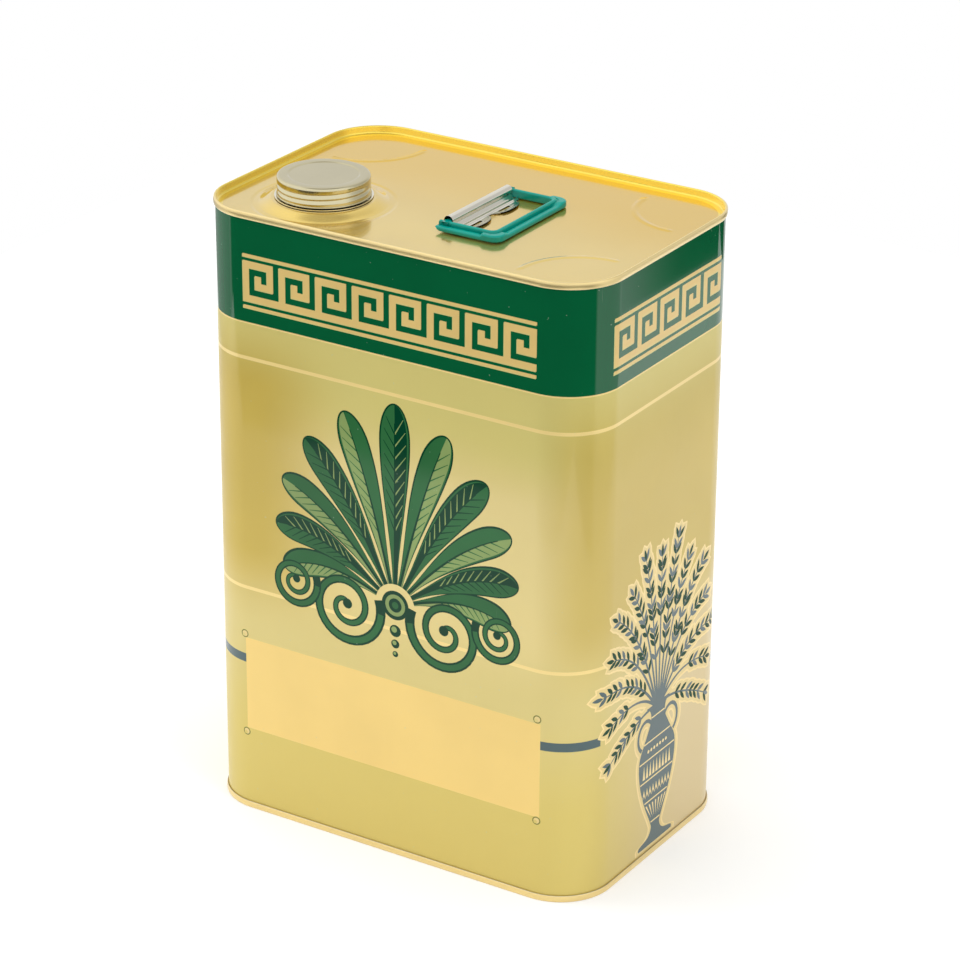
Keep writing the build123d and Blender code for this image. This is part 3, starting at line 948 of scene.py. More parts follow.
@dataclass(frozen=True)
class Palmette:
    """Fan of rounded petals over two pairs of scrolls, printed on the front face."""

    centre: float
    base: float
    petal_count: int = 11
    petal_length: float = 84.0
    side_length: float = 52.0
    length_fall: float = 1.2
    petal_half: float = 6.4
    side_half_share: float = 0.86
    root_radius: float = 9.0
    root_half_share: float = 0.16
    root_bend: float = 0.9
    root_lean_share: float = 0.82
    fan_angle: float = math.radians(86)
    petal_steps: int = 26
    widest_share: float = 0.8
    outline: float = 0.7
    shaded_share: float = 0.88
    lit_share: float = 0.9
    # Inks of every other petal: its lit half, its shaded half, and the veins on each
    petal_inks: tuple[tuple[Ink, ...], ...] = (
        (Ink.LEAF_LIGHT, Ink.LEAF_MID, Ink.LEAF_MID, Ink.LEAF_MID),
        (Ink.LEAF_MID, Ink.LEAF_DARK, Ink.LEAF_DARK, Ink.LEAF_LIGHT))
    rib_end: float = 0.9
    rib_halves: Point2 = (0.6, 0.2)
    rib_steps: int = 12
    vein_span: Point2 = (0.3, 0.84)
    vein_run: float = 0.09
    vein_count: int = 9
    vein_reach: float = 0.8
    vein_halves: Point2 = (0.3, 0.12)
    scrolls: tuple[Scroll, ...] = (Scroll(23.0, 6.0, 15.5, 2.3), Scroll(47.15, 1.5, 9.61, 1.84))
    scroll_start: float = math.radians(158)
    scroll_turns: float = 1.9
    scroll_closing: float = 0.85
    scroll_eye: float = 1.2
    scroll_taper: float = 0.55
    scroll_fill: float = 0.58
    scroll_end_share: float = 0.95
    scroll_steps: int = 64
    hub_radius: float = 6.2
    hub_rings: tuple[tuple[Ink, float], ...] = (
        (Ink.LEAF_DARK, 1.0), (Ink.LEAF_LIGHT, 0.74), (Ink.LEAF_DARK, 0.48), (Ink.LEAF_MID, 0.24))
    drops: tuple[Point2, ...] = ((11.0, 2.6), (16.6, 1.9), (21.0, 1.3))
    glint_shift: float = 0.2
    glint_share: float = 0.5

    def _petal_point(self, lean: float, length: float, share: float) -> Point2:
        """Point on a petal's middle line, which bends outwards as it rises."""
        reach = between(self.root_radius, length, share)
        angle = lean * between(self.root_lean_share, 1.0, share * share)
        return self.centre + reach * math.sin(angle), self.base + reach * math.cos(angle)

    def _petal_half(self, half: float, share: float) -> float:
        """Half width of a petal, narrow at its root and round at its tip."""
        if share < self.widest_share:
            swell = smooth_step(share / self.widest_share) ** self.root_bend
            return half * between(self.root_half_share, 1.0, swell)
        rest = (share - self.widest_share) / (1 - self.widest_share)
        return half * math.sqrt(max(0.0, 1 - rest * rest))

    def _petal(self, number: int) -> Iterator[Shape]:
        """One petal: dark outline, two tones either side of a dark midrib, and side veins."""
        place = number / (self.petal_count - 1) * 2 - 1
        lean = self.fan_angle * place
        length = between(self.petal_length, self.side_length, abs(place) ** self.length_fall)
        widest = self.petal_half * between(1.0, self.side_half_share, abs(place))
        shares = [math.sin(turn) for turn in steps(0.0, math.pi / 2, self.petal_steps)]
        spine = [self._petal_point(lean, length, share) for share in shares]
        outer = [self._petal_point(lean, length + self.outline, share) for share in shares]
        halves = [self._petal_half(widest, share) for share in shares]
        rims = [self._petal_half(widest + self.outline, share) for share in shares]
        lit_ink, shaded_ink, lit_veins, shaded_veins = self.petal_inks[number % 2]
        lit = 1 if place <= 0 else -1
        yield Ink.LEAF_DARK, ribbon(outer, rims)
        yield Ink.LEAF_MID, ribbon(spine, halves)
        yield shaded_ink, ribbon(spine, [half * self.shaded_share for half in halves])
        yield lit_ink, ribbon(spine, halves, (self.lit_share, 0.0)[::lit])
        yield from self._veins(lean, length, widest, {lit: lit_veins, -lit: shaded_veins})
        rib = [self._petal_point(lean, length, share) for share in steps(0.0, self.rib_end, self.rib_steps)]
        yield Ink.LEAF_DARK, ribbon(rib, steps(*self.rib_halves, self.rib_steps))

    def _veins(self, lean: float, length: float, widest: float, inks: dict[int, Ink]) -> Iterator[Shape]:
        """Side veins of one petal, with an ink for each of its halves."""
        for start in steps(*self.vein_span, self.vein_count - 1):
            root = self._petal_point(lean, length, start)
            ahead = self._petal_point(lean, length, start + self.vein_run)
            half = self._petal_half(widest, start + self.vein_run) * self.vein_reach
            run = (Vector(ahead) - Vector(root)).normalized()
            for hand in (1, -1):
                tip = (ahead[0] - run.y * half * hand, ahead[1] + run.x * half * hand)
                yield inks[hand], ribbon([root, tip], self.vein_halves)

    def _scroll(self, hand: int, scroll: Scroll) -> Iterator[Shape]:
        """One scroll that leaves the hub and coils outwards, to the left or to the right."""
        shares = steps(0.0, 1.0, self.scroll_steps)
        spine = []
        for share in shares:
            turn = self.scroll_start + 2 * math.pi * self.scroll_turns * share
            radius = scroll.radius * (1 - share) ** self.scroll_closing + self.scroll_eye
            spine.append((self.centre + hand * (scroll.reach + radius * math.cos(turn)),
                          self.base - scroll.drop + radius * math.sin(turn)))
        halves = [scroll.half * (1 - share * self.scroll_taper) for share in shares]
        yield Ink.LEAF_DARK, ribbon(spine, halves)
        yield Ink.LEAF_MID, ribbon(spine[2:-2], [half * self.scroll_fill for half in halves[2:-2]])
        yield Ink.LEAF_DARK, round_points(spine[-1], scroll.half * self.scroll_end_share)

    def shapes(self) -> Iterator[Shape]:
        """Whole ornament in painting order, with the outer petals first."""
        middle = (self.petal_count - 1) / 2
        for number in sorted(range(self.petal_count), key=lambda petal: -abs(petal - middle)):
            yield from self._petal(number)
        for hand in (-1, 1):
            for scroll in self.scrolls:
                yield from self._scroll(hand, scroll)
        for ink, share in self.hub_rings:
            yield ink, round_points((self.centre, self.base), self.hub_radius * share, 36)
        for drop, radius in self.drops:
            shift = radius * self.glint_shift
            yield Ink.LEAF_DARK, round_points((self.centre, self.base - drop), radius)
            yield Ink.LEAF_LIGHT, round_points((self.centre - shift, self.base - drop + shift),
                                               radius * self.glint_share, 16)


@dataclass(frozen=True)
class VaseSpray:
    """Footed vase with a spray of leafy sprigs, printed on a side face with a pale edge round it."""

    centre: float
    vase_heights: tuple[float, ...] = (4.6, 6.4, 8.2, 11.5, 15.0, 25.0, 36.0, 46.0, 54.0, 60.0, 64.5, 67.0)
    vase_halves: tuple[float, ...] = (13.0, 12.6, 6.0, 3.4, 4.4, 9.6, 13.4, 13.8, 9.0, 5.6, 6.0, 9.2)
    vase_steps: int = 4
    loop_centre: Point2 = (9.6, 55.6)
    loop_radii: Point2 = (5.6, 6.4)
    loop_turns: Point2 = (math.radians(-62), math.radians(152))
    loop_half: float = 0.8
    bands: tuple[Point2, ...] = ((14.2, 3.6), (24.6, 8.9), (34.4, 12.7), (43.6, 13.6), (51.4, 10.4),
                                 (61.4, 5.1))
    band_height: float = 0.6
    # Rows of small shapes: how many either side of the middle, and each corner's pitch, shift and height
    motifs: tuple[tuple[int, tuple[Point3, ...]], ...] = (
        (4, ((2.5, -0.9, 36.2), (2.5, 0.9, 36.2), (2.5, 0.0, 42.4))),
        (3, ((1.1, 0.0, 16.4), (2.5, 0.5, 23.2), (2.5, -0.5, 23.2))),
        (4, ((2.4, -1.2, 27.0), (2.4, 0.0, 31.6), (2.4, 1.2, 27.0), (2.4, 0.0, 29.0))))
    dots: int = 3
    dot_pitch: float = 2.3
    dot_level: float = 47.6
    dot_radius: float = 0.75
    ground: float = 1.5
    edge: float = 2.4
    crown_base: float = 82.0
    crown_half_width: float = 42.0
    crown_height: float = 53.0
    sprigs: int = 15
    lowest: float = math.radians(-30)
    short_share: float = 0.9
    root_spread: float = 2.4
    pull_share: Point2 = (0.42, 0.62)
    pull_rise: float = 9.0
    stem_steps: int = 24
    stem_halves: Point2 = (0.72, 0.24)
    stem_margin: float = 0.6
    # Bare length at the root of a long and of a short sprig, at the crown's sides and at its top
    bare_stems: tuple[Point2, ...] = ((11.0, 21.0), (22.0, 36.0))
    leaf_outline: tuple[Point2, ...] = ((0.0, 0.0), (0.28, -0.85), (0.55, -1.0), (0.8, -0.62), (1.0, 0.0),
                                        (0.8, 0.62), (0.55, 1.0), (0.28, 0.85))
    leaf_length: float = 5.6
    leaf_half: float = 0.92
    leaf_spacing: float = 3.9
    leaf_lean: float = math.radians(36)
    leaf_sizes: tuple[float, ...] = tuple(steps(0.92, 1.08, 3))

    def _vase(self, grow: float) -> list[Point2]:
        """Outline of the vase, grown outwards by a margin."""
        stations = list(zip(self.vase_heights, self.vase_halves))
        padded = [stations[0], *stations, stations[-1]]
        right = []
        for ends in zip(padded, padded[1:], padded[2:], padded[3:]):
            for share in steps(0.0, 1.0, self.vase_steps)[:-1]:
                height, half = (curve_value(*values, share) for values in zip(*ends))
                right.append((half + grow, height))
        right.append((stations[-1][1] + grow, stations[-1][0] + grow))
        right[0] = (right[0][0], right[0][1] - min(grow, 1.0))
        found = [(self.centre + half, height) for half, height in right]
        return found + [(self.centre - half, height) for half, height in reversed(right)]

    def _handles(self, half: float) -> Iterator[list[Point2]]:
        """Two loops from the shoulder of the vase up to its neck."""
        for hand in (-1, 1):
            spine = [(self.centre + hand * (self.loop_centre[0] + self.loop_radii[0] * math.cos(turn)),
                      self.loop_centre[1] + self.loop_radii[1] * math.sin(turn))
                     for turn in steps(*self.loop_turns, 14)]
            yield ribbon(spine, [half] * len(spine))

    def _sprig_angle(self, number: int) -> float:
        """Direction in which a sprig leaves the vase, from the right over the top to the left."""
        return between(self.lowest, math.pi - self.lowest, number / (self.sprigs - 1))

    def _sprig(self, number: int) -> list[Point2]:
        """Curved stem from the vase's mouth to the edge of the crown."""
        angle = self._sprig_angle(number)
        reach = self.short_share if number % 2 else 1.0
        tip = Vector((math.cos(angle) * self.crown_half_width * reach,
                      self.crown_base + math.sin(angle) * self.crown_height * reach))
        root = Vector((math.cos(angle) * self.root_spread, self.vase_heights[-1] - 1))
        pull = Vector((tip.x * self.pull_share[0],
                       between(root.y, tip.y, self.pull_share[1]) + self.pull_rise * abs(math.cos(angle))))
        places = [root * (1 - share) ** 2 + pull * 2 * share * (1 - share) + tip * share ** 2
                  for share in steps(0.0, 1.0, self.stem_steps)]
        return [(self.centre + place.x, place.y) for place in places]

    def _leaf(self, root: Point2, heading: float, length: float, grow: float) -> list[Point2]:
        """Pointed leaf that starts at the stem, grown outwards by a margin."""
        found = []
        for along, across in self.leaf_outline:
            x = along * (length + grow * 2) - grow
            y = across * (self.leaf_half + grow)
            found.append((root[0] + x * math.cos(heading) - y * math.sin(heading),
                          root[1] + x * math.sin(heading) + y * math.cos(heading)))
        return found

    def _leaves(self, grow: float) -> Iterator[tuple[int, list[Point2]]]:
        """Leaves of every sprig with their numbers, in pairs up its stem with one at the tip."""
        for number in range(self.sprigs):
            spine = self._sprig(number)
            walked = 0.0
            count = 0
            due = between(*self.bare_stems[number % 2], max(0.0, math.sin(self._sprig_angle(number))))
            for before, after in zip(spine, spine[1:]):
                run = Vector(after) - Vector(before)
                walked += run.length
                heading = math.atan2(run.y, run.x)
                if walked < due:
                    continue
                due += self.leaf_spacing
                count += 1
                size = self.leaf_sizes[(count * 5 + number * 3) % len(self.leaf_sizes)]
                for hand in (-1, 1):
                    yield number + count, self._leaf(after, heading + hand * self.leaf_lean,
                                                     self.leaf_length * size, grow)
            yield number, self._leaf(spine[-1], heading, self.leaf_length, grow)

    def _vase_bands(self) -> Iterator[Shape]:
        """Pale bands, tongues, a zigzag, teeth and a row of dots across the vase."""
        for height, half in self.bands:
            yield Ink.HALO_EDGE, box_points(self.centre - half, self.centre + half, height,
                                            height + self.band_height)
        for reach, corners in self.motifs:
            for number in range(-reach, reach + 1):
                yield Ink.HALO_EDGE, [(self.centre + number * pitch + shift, height)
                                      for pitch, shift, height in corners]
        for number in range(-self.dots, self.dots + 1):
            place = (self.centre + number * self.dot_pitch, self.dot_level)
            yield Ink.HALO_EDGE, round_points(place, self.dot_radius, 12)

    def shapes(self) -> Iterator[Shape]:
        """Whole ornament in painting order."""
        spines = [self._sprig(number) for number in range(self.sprigs)]
        for ink, grow in ((Ink.HALO_EDGE, self.edge), (Ink.HALO, self.ground)):
            yield from ((ink, leaf) for _, leaf in self._leaves(grow))
            yield from ((ink, ribbon(spine, [grow + self.stem_margin] * len(spine))) for spine in spines)
            yield ink, self._vase(grow)
            yield from ((ink, loop) for loop in self._handles(self.loop_half + grow))
        for spine in spines:
            yield Ink.SLATE, ribbon(spine, steps(*self.stem_halves, self.stem_steps))
        for order, leaf in self._leaves(0.0):
            yield (Ink.LEAF_DARK if order % 3 else Ink.SLATE), leaf
        yield Ink.SLATE, self._vase(0.0)
        yield from ((Ink.SLATE, loop) for loop in self._handles(self.loop_half))
        yield from self._vase_bands()


@dataclass
class PrintedBody:
    """Body sheet: four printed walls, both flanges inside the seams, and the welded lap at the back."""

    outline: TinOutline
    height: float
    sheet: float = 0.24
    flange_bend: float = 0.24
    seam_compound: float = 0.14
    hook_reach: float = 0.4
    hook_depth: float = 2.31
    bend_steps: int = 5
    band_low: float = 213.2
    band_line: float = 0.65
    pinstripes: Point2 = (198.2, 99.4)
    pinstripe: float = 1.5
    letter_low: float = 219.0
    letter_high: float = 241.2
    front_letters: Point2 = (-65.4, 66.6)
    side_letters: float = 40.0
    plate: tuple[float, float, float, float] = (-67.8, 70.3, 36.4, 77.0)
    ring_radius: float = 1.75
    ring_line: float = 0.48
    ring_places: tuple[Point2, ...] = ((-68.2, 78.6), (68.9, 78.8), (69.1, 34.8), (-68.2, 34.6))
    palmette_place: Point2 = (4.0, 110.0)
    back_plate: Point2 = (14.0, 78.0)
    back_plate_gap: float = 8.0
    back_letters: Point2 = (10.0, 62.0)
    stripe_middle: float = 67.8
    stripe_half: float = 1.9
    stripe_end: float = 43.0
    bare_half: float = 3.2
    lap_half: float = 0.55
    lap_rise: float = 0.09
    lap_ends: Point2 = (3.2, 254.9)
    lap_sink: float = 0.02
    lap_normal_lean: float = 0.6
    shapes: list[Shape] = field(default_factory=list)

    @property
    def wall_top(self) -> float:
        """Height at which the wall starts to bend into its upper flange."""
        return self.height - self.sheet * 1.5 - self.seam_compound - self.flange_bend

    def _box(self, ink: Ink, start: float, end: float, low: float, high: float) -> None:
        """Prints an upright rectangle."""
        self.shapes.append((ink, box_points(start, end, low, high)))

    def _back_spans(self, near: float, far: float) -> list[Point2]:
        """Two stretches of the back, given by their distances from the lap."""
        back = self.outline.back_middle
        return [(-back + near, -back + far), (back - far, back - near)]

    def _rings(self) -> Iterator[Shape]:
        """Small rings at the plate's corners, with a lighter lower right edge inside."""
        for place in self.ring_places:
            yield Ink.RING, round_points(place, self.ring_radius)
            yield Ink.HALO, round_points(place, self.ring_radius - self.ring_line)
            core = (place[0] - self.ring_line, place[1] - self.ring_line)
            yield Ink.FIELD, round_points(core, self.ring_radius - self.ring_line * 2)

    def layout(self) -> None:
        """Lists every printed shape in the order in which the press lays the inks."""
        back, side = self.outline.back_middle, self.outline.side_middle
        self._box(Ink.BAND, -back, back, self.band_low, self.wall_top)
        self._box(Ink.GOLD_LINE, -back, back, self.band_low - self.band_line, self.band_low)
        for middle in self.pinstripes:
            self._box(Ink.GOLD_LINE, -back, back, middle - self.pinstripe / 2, middle + self.pinstripe / 2)
        stripe = (self.stripe_middle - self.stripe_half, self.stripe_middle + self.stripe_half)
        stripe_spans = [(self.stripe_end - side, side - self.stripe_end)]
        stripe_spans += self._back_spans(self.bare_half, back - side - self.stripe_end)
        for span in stripe_spans:
            self._box(Ink.SLATE, *span, *stripe)
        self._box(Ink.PLATE, *self.plate)
        for span in self._back_spans(*self.back_plate):
            self._box(Ink.PLATE, *span, self.plate[2], self.pinstripes[1] - self.back_plate_gap)
        self.shapes += self._rings()
        letter_spans = [self.front_letters]
        letter_spans += [(middle - self.side_letters, middle + self.side_letters) for middle in (-side, side)]
        for span in letter_spans + self._back_spans(*self.back_letters):
            self.shapes += Frieze(*span, self.letter_low, self.letter_high).shapes()
        self.shapes += Palmette(*self.palmette_place).shapes()
        for middle in (-side, side):
            self.shapes += VaseSpray(middle).shapes()
        for span in self._back_spans(0.0, self.bare_half):
            self._box(Ink.BARE, *span, self.sheet + self.hook_reach, self.wall_top)

    def _print(self, skin: Skin) -> None:
        """Cuts the flat print into faces, one region for each ink, and wraps it round the tin."""
        low, high = self.height - self.wall_top, self.wall_top
        back = self.outline.back_middle
        ways = [*self.outline.ring_ways(), back]
        points = [Vector((way, level)) for level in (low, high) for way in ways]
        count = len(ways)
        lines = [(number, number + 1) for number in range(count - 1)]
        lines += [(number + count, number + count + 1) for number in range(count - 1)]
        lines += [(number, number + count) for number in range(count)]
        for _, outline in self.shapes:
            first = len(points)
            points += [Vector((min(back, max(-back, x)), min(high, max(low, y)))) for x, y in outline]
            lines += [(number, number + 1) for number in range(first, len(points) - 1)]
            lines.append((len(points) - 1, first))
        found, _, faces, _, _, _ = delaunay_2d_cdt(points, lines, [], 0, CUT_WELD, False)
        numbers = []
        for place in found:
            (x, y), (out_x, out_y) = self.outline.place(place.x)
            numbers.append(skin.vertex((x, y, place.y), (out_x, out_y, 0.0)))
        inks = PrintMap(self.shapes)
        for face in faces:
            middle = sum((found[corner] for corner in face), Vector((0.0, 0.0))) / len(face)
            skin.face([numbers[corner] for corner in face], inks.ink(*middle).value)

    def _hooks(self, skin: Skin) -> None:
        """Both flanges with their hooks and the inside of the wall."""
        top = self.wall_top + self.flange_bend
        upper = [(-self.sheet / 2, top), (self.hook_reach, top), (self.hook_reach, top - self.hook_depth)]
        lower = [(offset, self.height - level) for offset, level in reversed(upper)]
        inner, outer = (bent_side(lower + upper, [self.flange_bend] * 4, side, self.bend_steps)
                        for side in (self.sheet / 2, -self.sheet / 2))
        split = len(outer) // 2
        path = outer[split:] + inner[::-1] + outer[:split]
        rows = self.outline.sweep(path, left_normals(path))
        skin.grid(rows, wrap=True, slot=Ink.BARE.value)

    def _lap(self, skin: Skin) -> None:
        """Low welded ridge down the middle of the back."""
        rows = []
        for level in steps(*self.lap_ends, 24):
            row = []
            for share in steps(-1.0, 1.0, 8):
                rise = self.lap_rise * math.sqrt(max(0.0, 1 - abs(share) ** 3)) - self.lap_sink
                lean = share * self.lap_normal_lean
                row.append(((share * self.lap_half, self.outline.half_depth + rise, level),
                            (lean, math.sqrt(1 - lean * lean), 0.0)))
            row.append(((0.0, self.outline.half_depth - self.sheet, level), (0.0, -1.0, 0.0)))
            rows.append(row + row[:1])
        skin.grid(rows, slot=Ink.BARE.value, flip=True)

    def build(self, inks: dict[Ink, Material]) -> SceneObject:
        """Makes the printed body, riding on the tin in place of the plain sheet.

        Args:
            inks: Finish of each ink.

        Returns:
            The new body.
        """
        self.layout()
        skin = Skin()
        self._print(skin)
        self._hooks(skin)
        self._lap(skin)
        body = skin.build("printed_body", [inks[ink] for ink in Ink])
        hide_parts("body_wrapper")
        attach(body, "tin")
        return body


@dataclass
class TinEnd:
    """Lid or base: half of a double seam, a countersunk panel and what is pressed into it."""

    name: str
    node: str
    outline: TinOutline
    height: float
    countersink: float
    flipped: bool = False
    sheet: float = 0.24
    seam_height: float = 2.8
    seam_reach: float = 0.78
    seam_lean: float = 0.2
    seam_bulge: float = 5.0
    seam_play: float = 0.02
    hook_gap: float = 0.25
    compound: float = 0.14
    chuck_bend: float = 0.9
    crown_bend: float = 0.4
    hook_bend: float = 0.24
    margin: float = 3.0
    bend_steps: int = 8
    spacing: float = 2.4
    neck: Optional[Point2] = None
    hole: float = 16.55
    boss_land: float = 20.3
    boss_base: float = 25.6
    boss_rise: float = 2.5
    boss_flat_share: float = 0.6
    moat_width: float = 3.4
    moat_depth: float = 0.2
    bead_radius: float = 25.5
    bead_half: float = 1.9
    bead_rise: float = 0.26
    bead_inset: Point2 = (12.5, 13.5)
    bead_corners: tuple[tuple[int, int], ...] = ((1, 1), (-1, 1), (1, -1))
    bead_overrun: float = 0.06
    bead_mesh: tuple[int, int] = (8, 40)
    boss_rings: int = 22
    ring_sides: int = 96
    ring_gap: float = 1.5
    sway: float = 0.1
    sway_x: Point2 = (0.041, 0.7)
    sway_y: Point2 = (0.055, 1.1)
    edge_fade: float = 14.0
    boss_fade: float = 10.0

    @property
    def panel(self) -> float:
        """Height of the flat panel's face."""
        return self.height - self.countersink

    def _bead_centre(self, hand_x: int, hand_y: int) -> Point2:
        """Middle of the quarter circle of one bead."""
        return (hand_x * (self.outline.half_width - self.bead_inset[0]),
                hand_y * (self.outline.half_depth - self.bead_inset[1]))

    def relief(self, x: float, y: float) -> float:
        """Height of the pressed panel over its flat level.

        Args:
            x: Place to the right of the middle.
            y: Place behind the middle.

        Returns:
            The slight sway of the sheet, with the neck's boss and the corner beads on a lid.
        """
        rise = self.sway * math.sin(x * self.sway_x[0] + self.sway_x[1])
        rise *= math.sin(y * self.sway_y[0] + self.sway_y[1])
        edge = min(self.outline.half_width - abs(x), self.outline.half_depth - abs(y)) - self.margin
        rise *= smooth_step(edge / self.edge_fade)
        if self.neck is None:
            return rise
        reach = math.dist((x, y), self.neck)
        slope = (reach - self.boss_land) / (self.boss_base - self.boss_land)
        fade = between(smooth_step(slope), min(1.0, max(0.0, slope)), self.boss_flat_share)
        rise = rise * smooth_step((reach - self.boss_base) / self.boss_fade) + self.boss_rise * (1 - fade)
        moat = (reach - self.boss_base) / self.moat_width
        if 0 < moat < 1:
            rise -= self.moat_depth * (0.5 - 0.5 * math.cos(2 * math.pi * moat))
        for hand_x, hand_y in self.bead_corners:
            centre = self._bead_centre(hand_x, hand_y)
            from_x, from_y = (x - centre[0]) * hand_x, (y - centre[1]) * hand_y
            nearest = min(math.pi / 2, max(0.0, math.atan2(-from_y, -from_x)))
            gap = math.hypot(from_x + self.bead_radius * math.cos(nearest),
                             from_y + self.bead_radius * math.sin(nearest))
            if gap < self.bead_half:
                rise += self.bead_rise * (0.5 + 0.5 * math.cos(math.pi * gap / self.bead_half))
        return rise

    def _slope(self, x: float, y: float) -> Point3:
        """Upward normal of the pressed panel."""
        step = 0.05
        along = (self.relief(x + step, y) - self.relief(x - step, y)) / (2 * step)
        across = (self.relief(x, y + step) - self.relief(x, y - step)) / (2 * step)
        return tuple(Vector((-along, -across, 1.0)).normalized())

    def _place(self, point: Point3, normal: Point3) -> Station:
        """Turns a point of an upper end upside down for a lower one."""
        if self.flipped:
            return (point[0], point[1], self.height - point[2]), (normal[0], normal[1], -normal[2])
        return point, normal

    def _swept(self, profile: Sequence[Point2], normals: Sequence[Point2]) -> list[list[Station]]:
        """Rows that carry a profile round the tin, upside down for a lower end."""
        return [[self._place(*station) for station in row] for row in self.outline.sweep(profile, normals)]

    def _seam(self, skin: Skin) -> None:
        """Sheet from the panel's edge up the chuck wall, over the crown and under into its hook."""
        half = self.sheet / 2
        chuck = -self.sheet - self.seam_play - half
        top = self.height - half
        wall = self.seam_reach - half
        under = self.height - self.seam_height + half
        hook = self.seam_play + half
        hook_end = self.height - self.sheet * 2 - self.compound - self.hook_gap
        path = [(-self.margin, self.panel - half), (chuck, self.panel - half), (chuck, top),
                (wall - self.seam_lean, top), (wall, (top + under) / 2), (wall - self.seam_lean, under),
                (hook, under), (hook, hook_end)]
        bends = (self.chuck_bend, self.crown_bend, self.crown_bend, self.seam_bulge, self.hook_bend,
                 self.hook_bend)
        upper, lower = (bent_side(path, bends, side, self.bend_steps) for side in (half, -half))
        crown = 2 * (self.bend_steps + 1)
        for side, facing in ((upper, 1.0), (lower, -1.0)):
            rows = self._swept(side, [(out * facing, rise * facing) for out, rise in left_normals(side)])
            flip = (facing < 0) != self.flipped
            skin.grid([row[:crown + 1] for row in rows], wrap=True, slot=1, flip=flip)
            skin.grid([row[crown:] for row in rows], wrap=True, slot=2, flip=flip)
        edge = self._swept([upper[-1], lower[-1]], [(0.0, 1.0)] * 2)
        skin.grid(edge, wrap=True, slot=1, flip=self.flipped)

    def _panel_points(self) -> tuple[list[Vector], list[tuple[int, int]], list[list[int]]]:
        """Plan of the panel: its edge, the neck's hole and finer points where it is pressed."""
        points = [Vector(self.outline.place(way, -self.margin)[0]) for way in self.outline.ring_ways()]
        count = len(points)
        lines = [(number, (number + 1) % count) for number in range(count)]
        if self.neck is None:
            return points, lines, []
        holes = [list(range(count, count + self.ring_sides))]
        pressed = steps(self.boss_land - 1, self.boss_base + self.moat_width + 0.5, self.boss_rings)
        for radius in (self.hole, *pressed):
            points += [Vector(point) for point in round_points(self.neck, radius, self.ring_sides)]
        for hand_x, hand_y in self.bead_corners:
            x, y = self._bead_centre(hand_x, hand_y)
            for radius in steps(self.bead_radius - self.bead_half, self.bead_radius + self.bead_half,
                                self.bead_mesh[0]):
                for turn in steps(-self.bead_overrun, math.pi / 2 + self.bead_overrun, self.bead_mesh[1]):
                    points.append(Vector((x - hand_x * radius * math.cos(turn),
                                          y - hand_y * radius * math.sin(turn))))
        return points, lines, holes

    def _grid_points(self) -> Iterator[Vector]:
        """Wide grid over the panel, clear of its edge and of the finer rings."""
        half_x = self.outline.half_width - self.margin
        half_y = self.outline.half_depth - self.margin
        corner = self.outline.corner - self.margin - self.spacing / 2
        rings = self.boss_base + self.moat_width + self.ring_gap
        for x in steps(-half_x, half_x, round(half_x * 2 / self.spacing))[1:-1]:
            for y in steps(-half_y, half_y, round(half_y * 2 / self.spacing))[1:-1]:
                past_x, past_y = abs(x) - self.outline.front_half, abs(y) - self.outline.side_half
                if math.hypot(max(0.0, past_x), max(0.0, past_y)) > corner:
                    continue
                if self.neck is None or math.dist((x, y), self.neck) >= rings:
                    yield Vector((x, y))

    def _panel(self, skin: Skin) -> None:
        """Pressed panel with its two faces and the edge of the neck's hole."""
        points, lines, holes = self._panel_points()
        points += list(self._grid_points())
        found, _, faces, _, _, origins = delaunay_2d_cdt(points, lines, holes, 0, CUT_WELD, True)
        for drop, facing in ((0.0, 1.0), (self.sheet, -1.0)):
            numbers = []
            for place in found:
                slope = self._slope(place.x, place.y)
                level = self.panel - drop + self.relief(place.x, place.y)
                station = self._place((place.x, place.y, level), tuple(value * facing for value in slope))
                numbers.append(skin.vertex(*station))
            for face, origin in zip(faces, origins):
                corners = [numbers[corner] for corner in face]
                if not origin:
                    skin.face(corners if (facing > 0) != self.flipped else reversed(corners))
        if self.neck is not None:
            rows = []
            for x, y in round_points(self.neck, self.hole, self.ring_sides):
                level = self.panel + self.relief(x, y)
                inward = ((self.neck[0] - x) / self.hole, (self.neck[1] - y) / self.hole, 0.0)
                rows.append([((x, y, level), inward), ((x, y, level - self.sheet), inward)])
            skin.grid(rows, wrap=True, flip=True)

    def build(self, *materials: Material) -> SceneObject:
        """Makes the end, riding on the tin in place of the plain sheet.

        Args:
            *materials: Finishes of the panel, of the seam's inner face and of its paler outer face.

        Returns:
            The new end.
        """
        skin = Skin()
        self._seam(skin)
        self._panel(skin)
        end = skin.build(self.name, materials)
        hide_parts(self.node)
        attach(end, "tin")
        return end


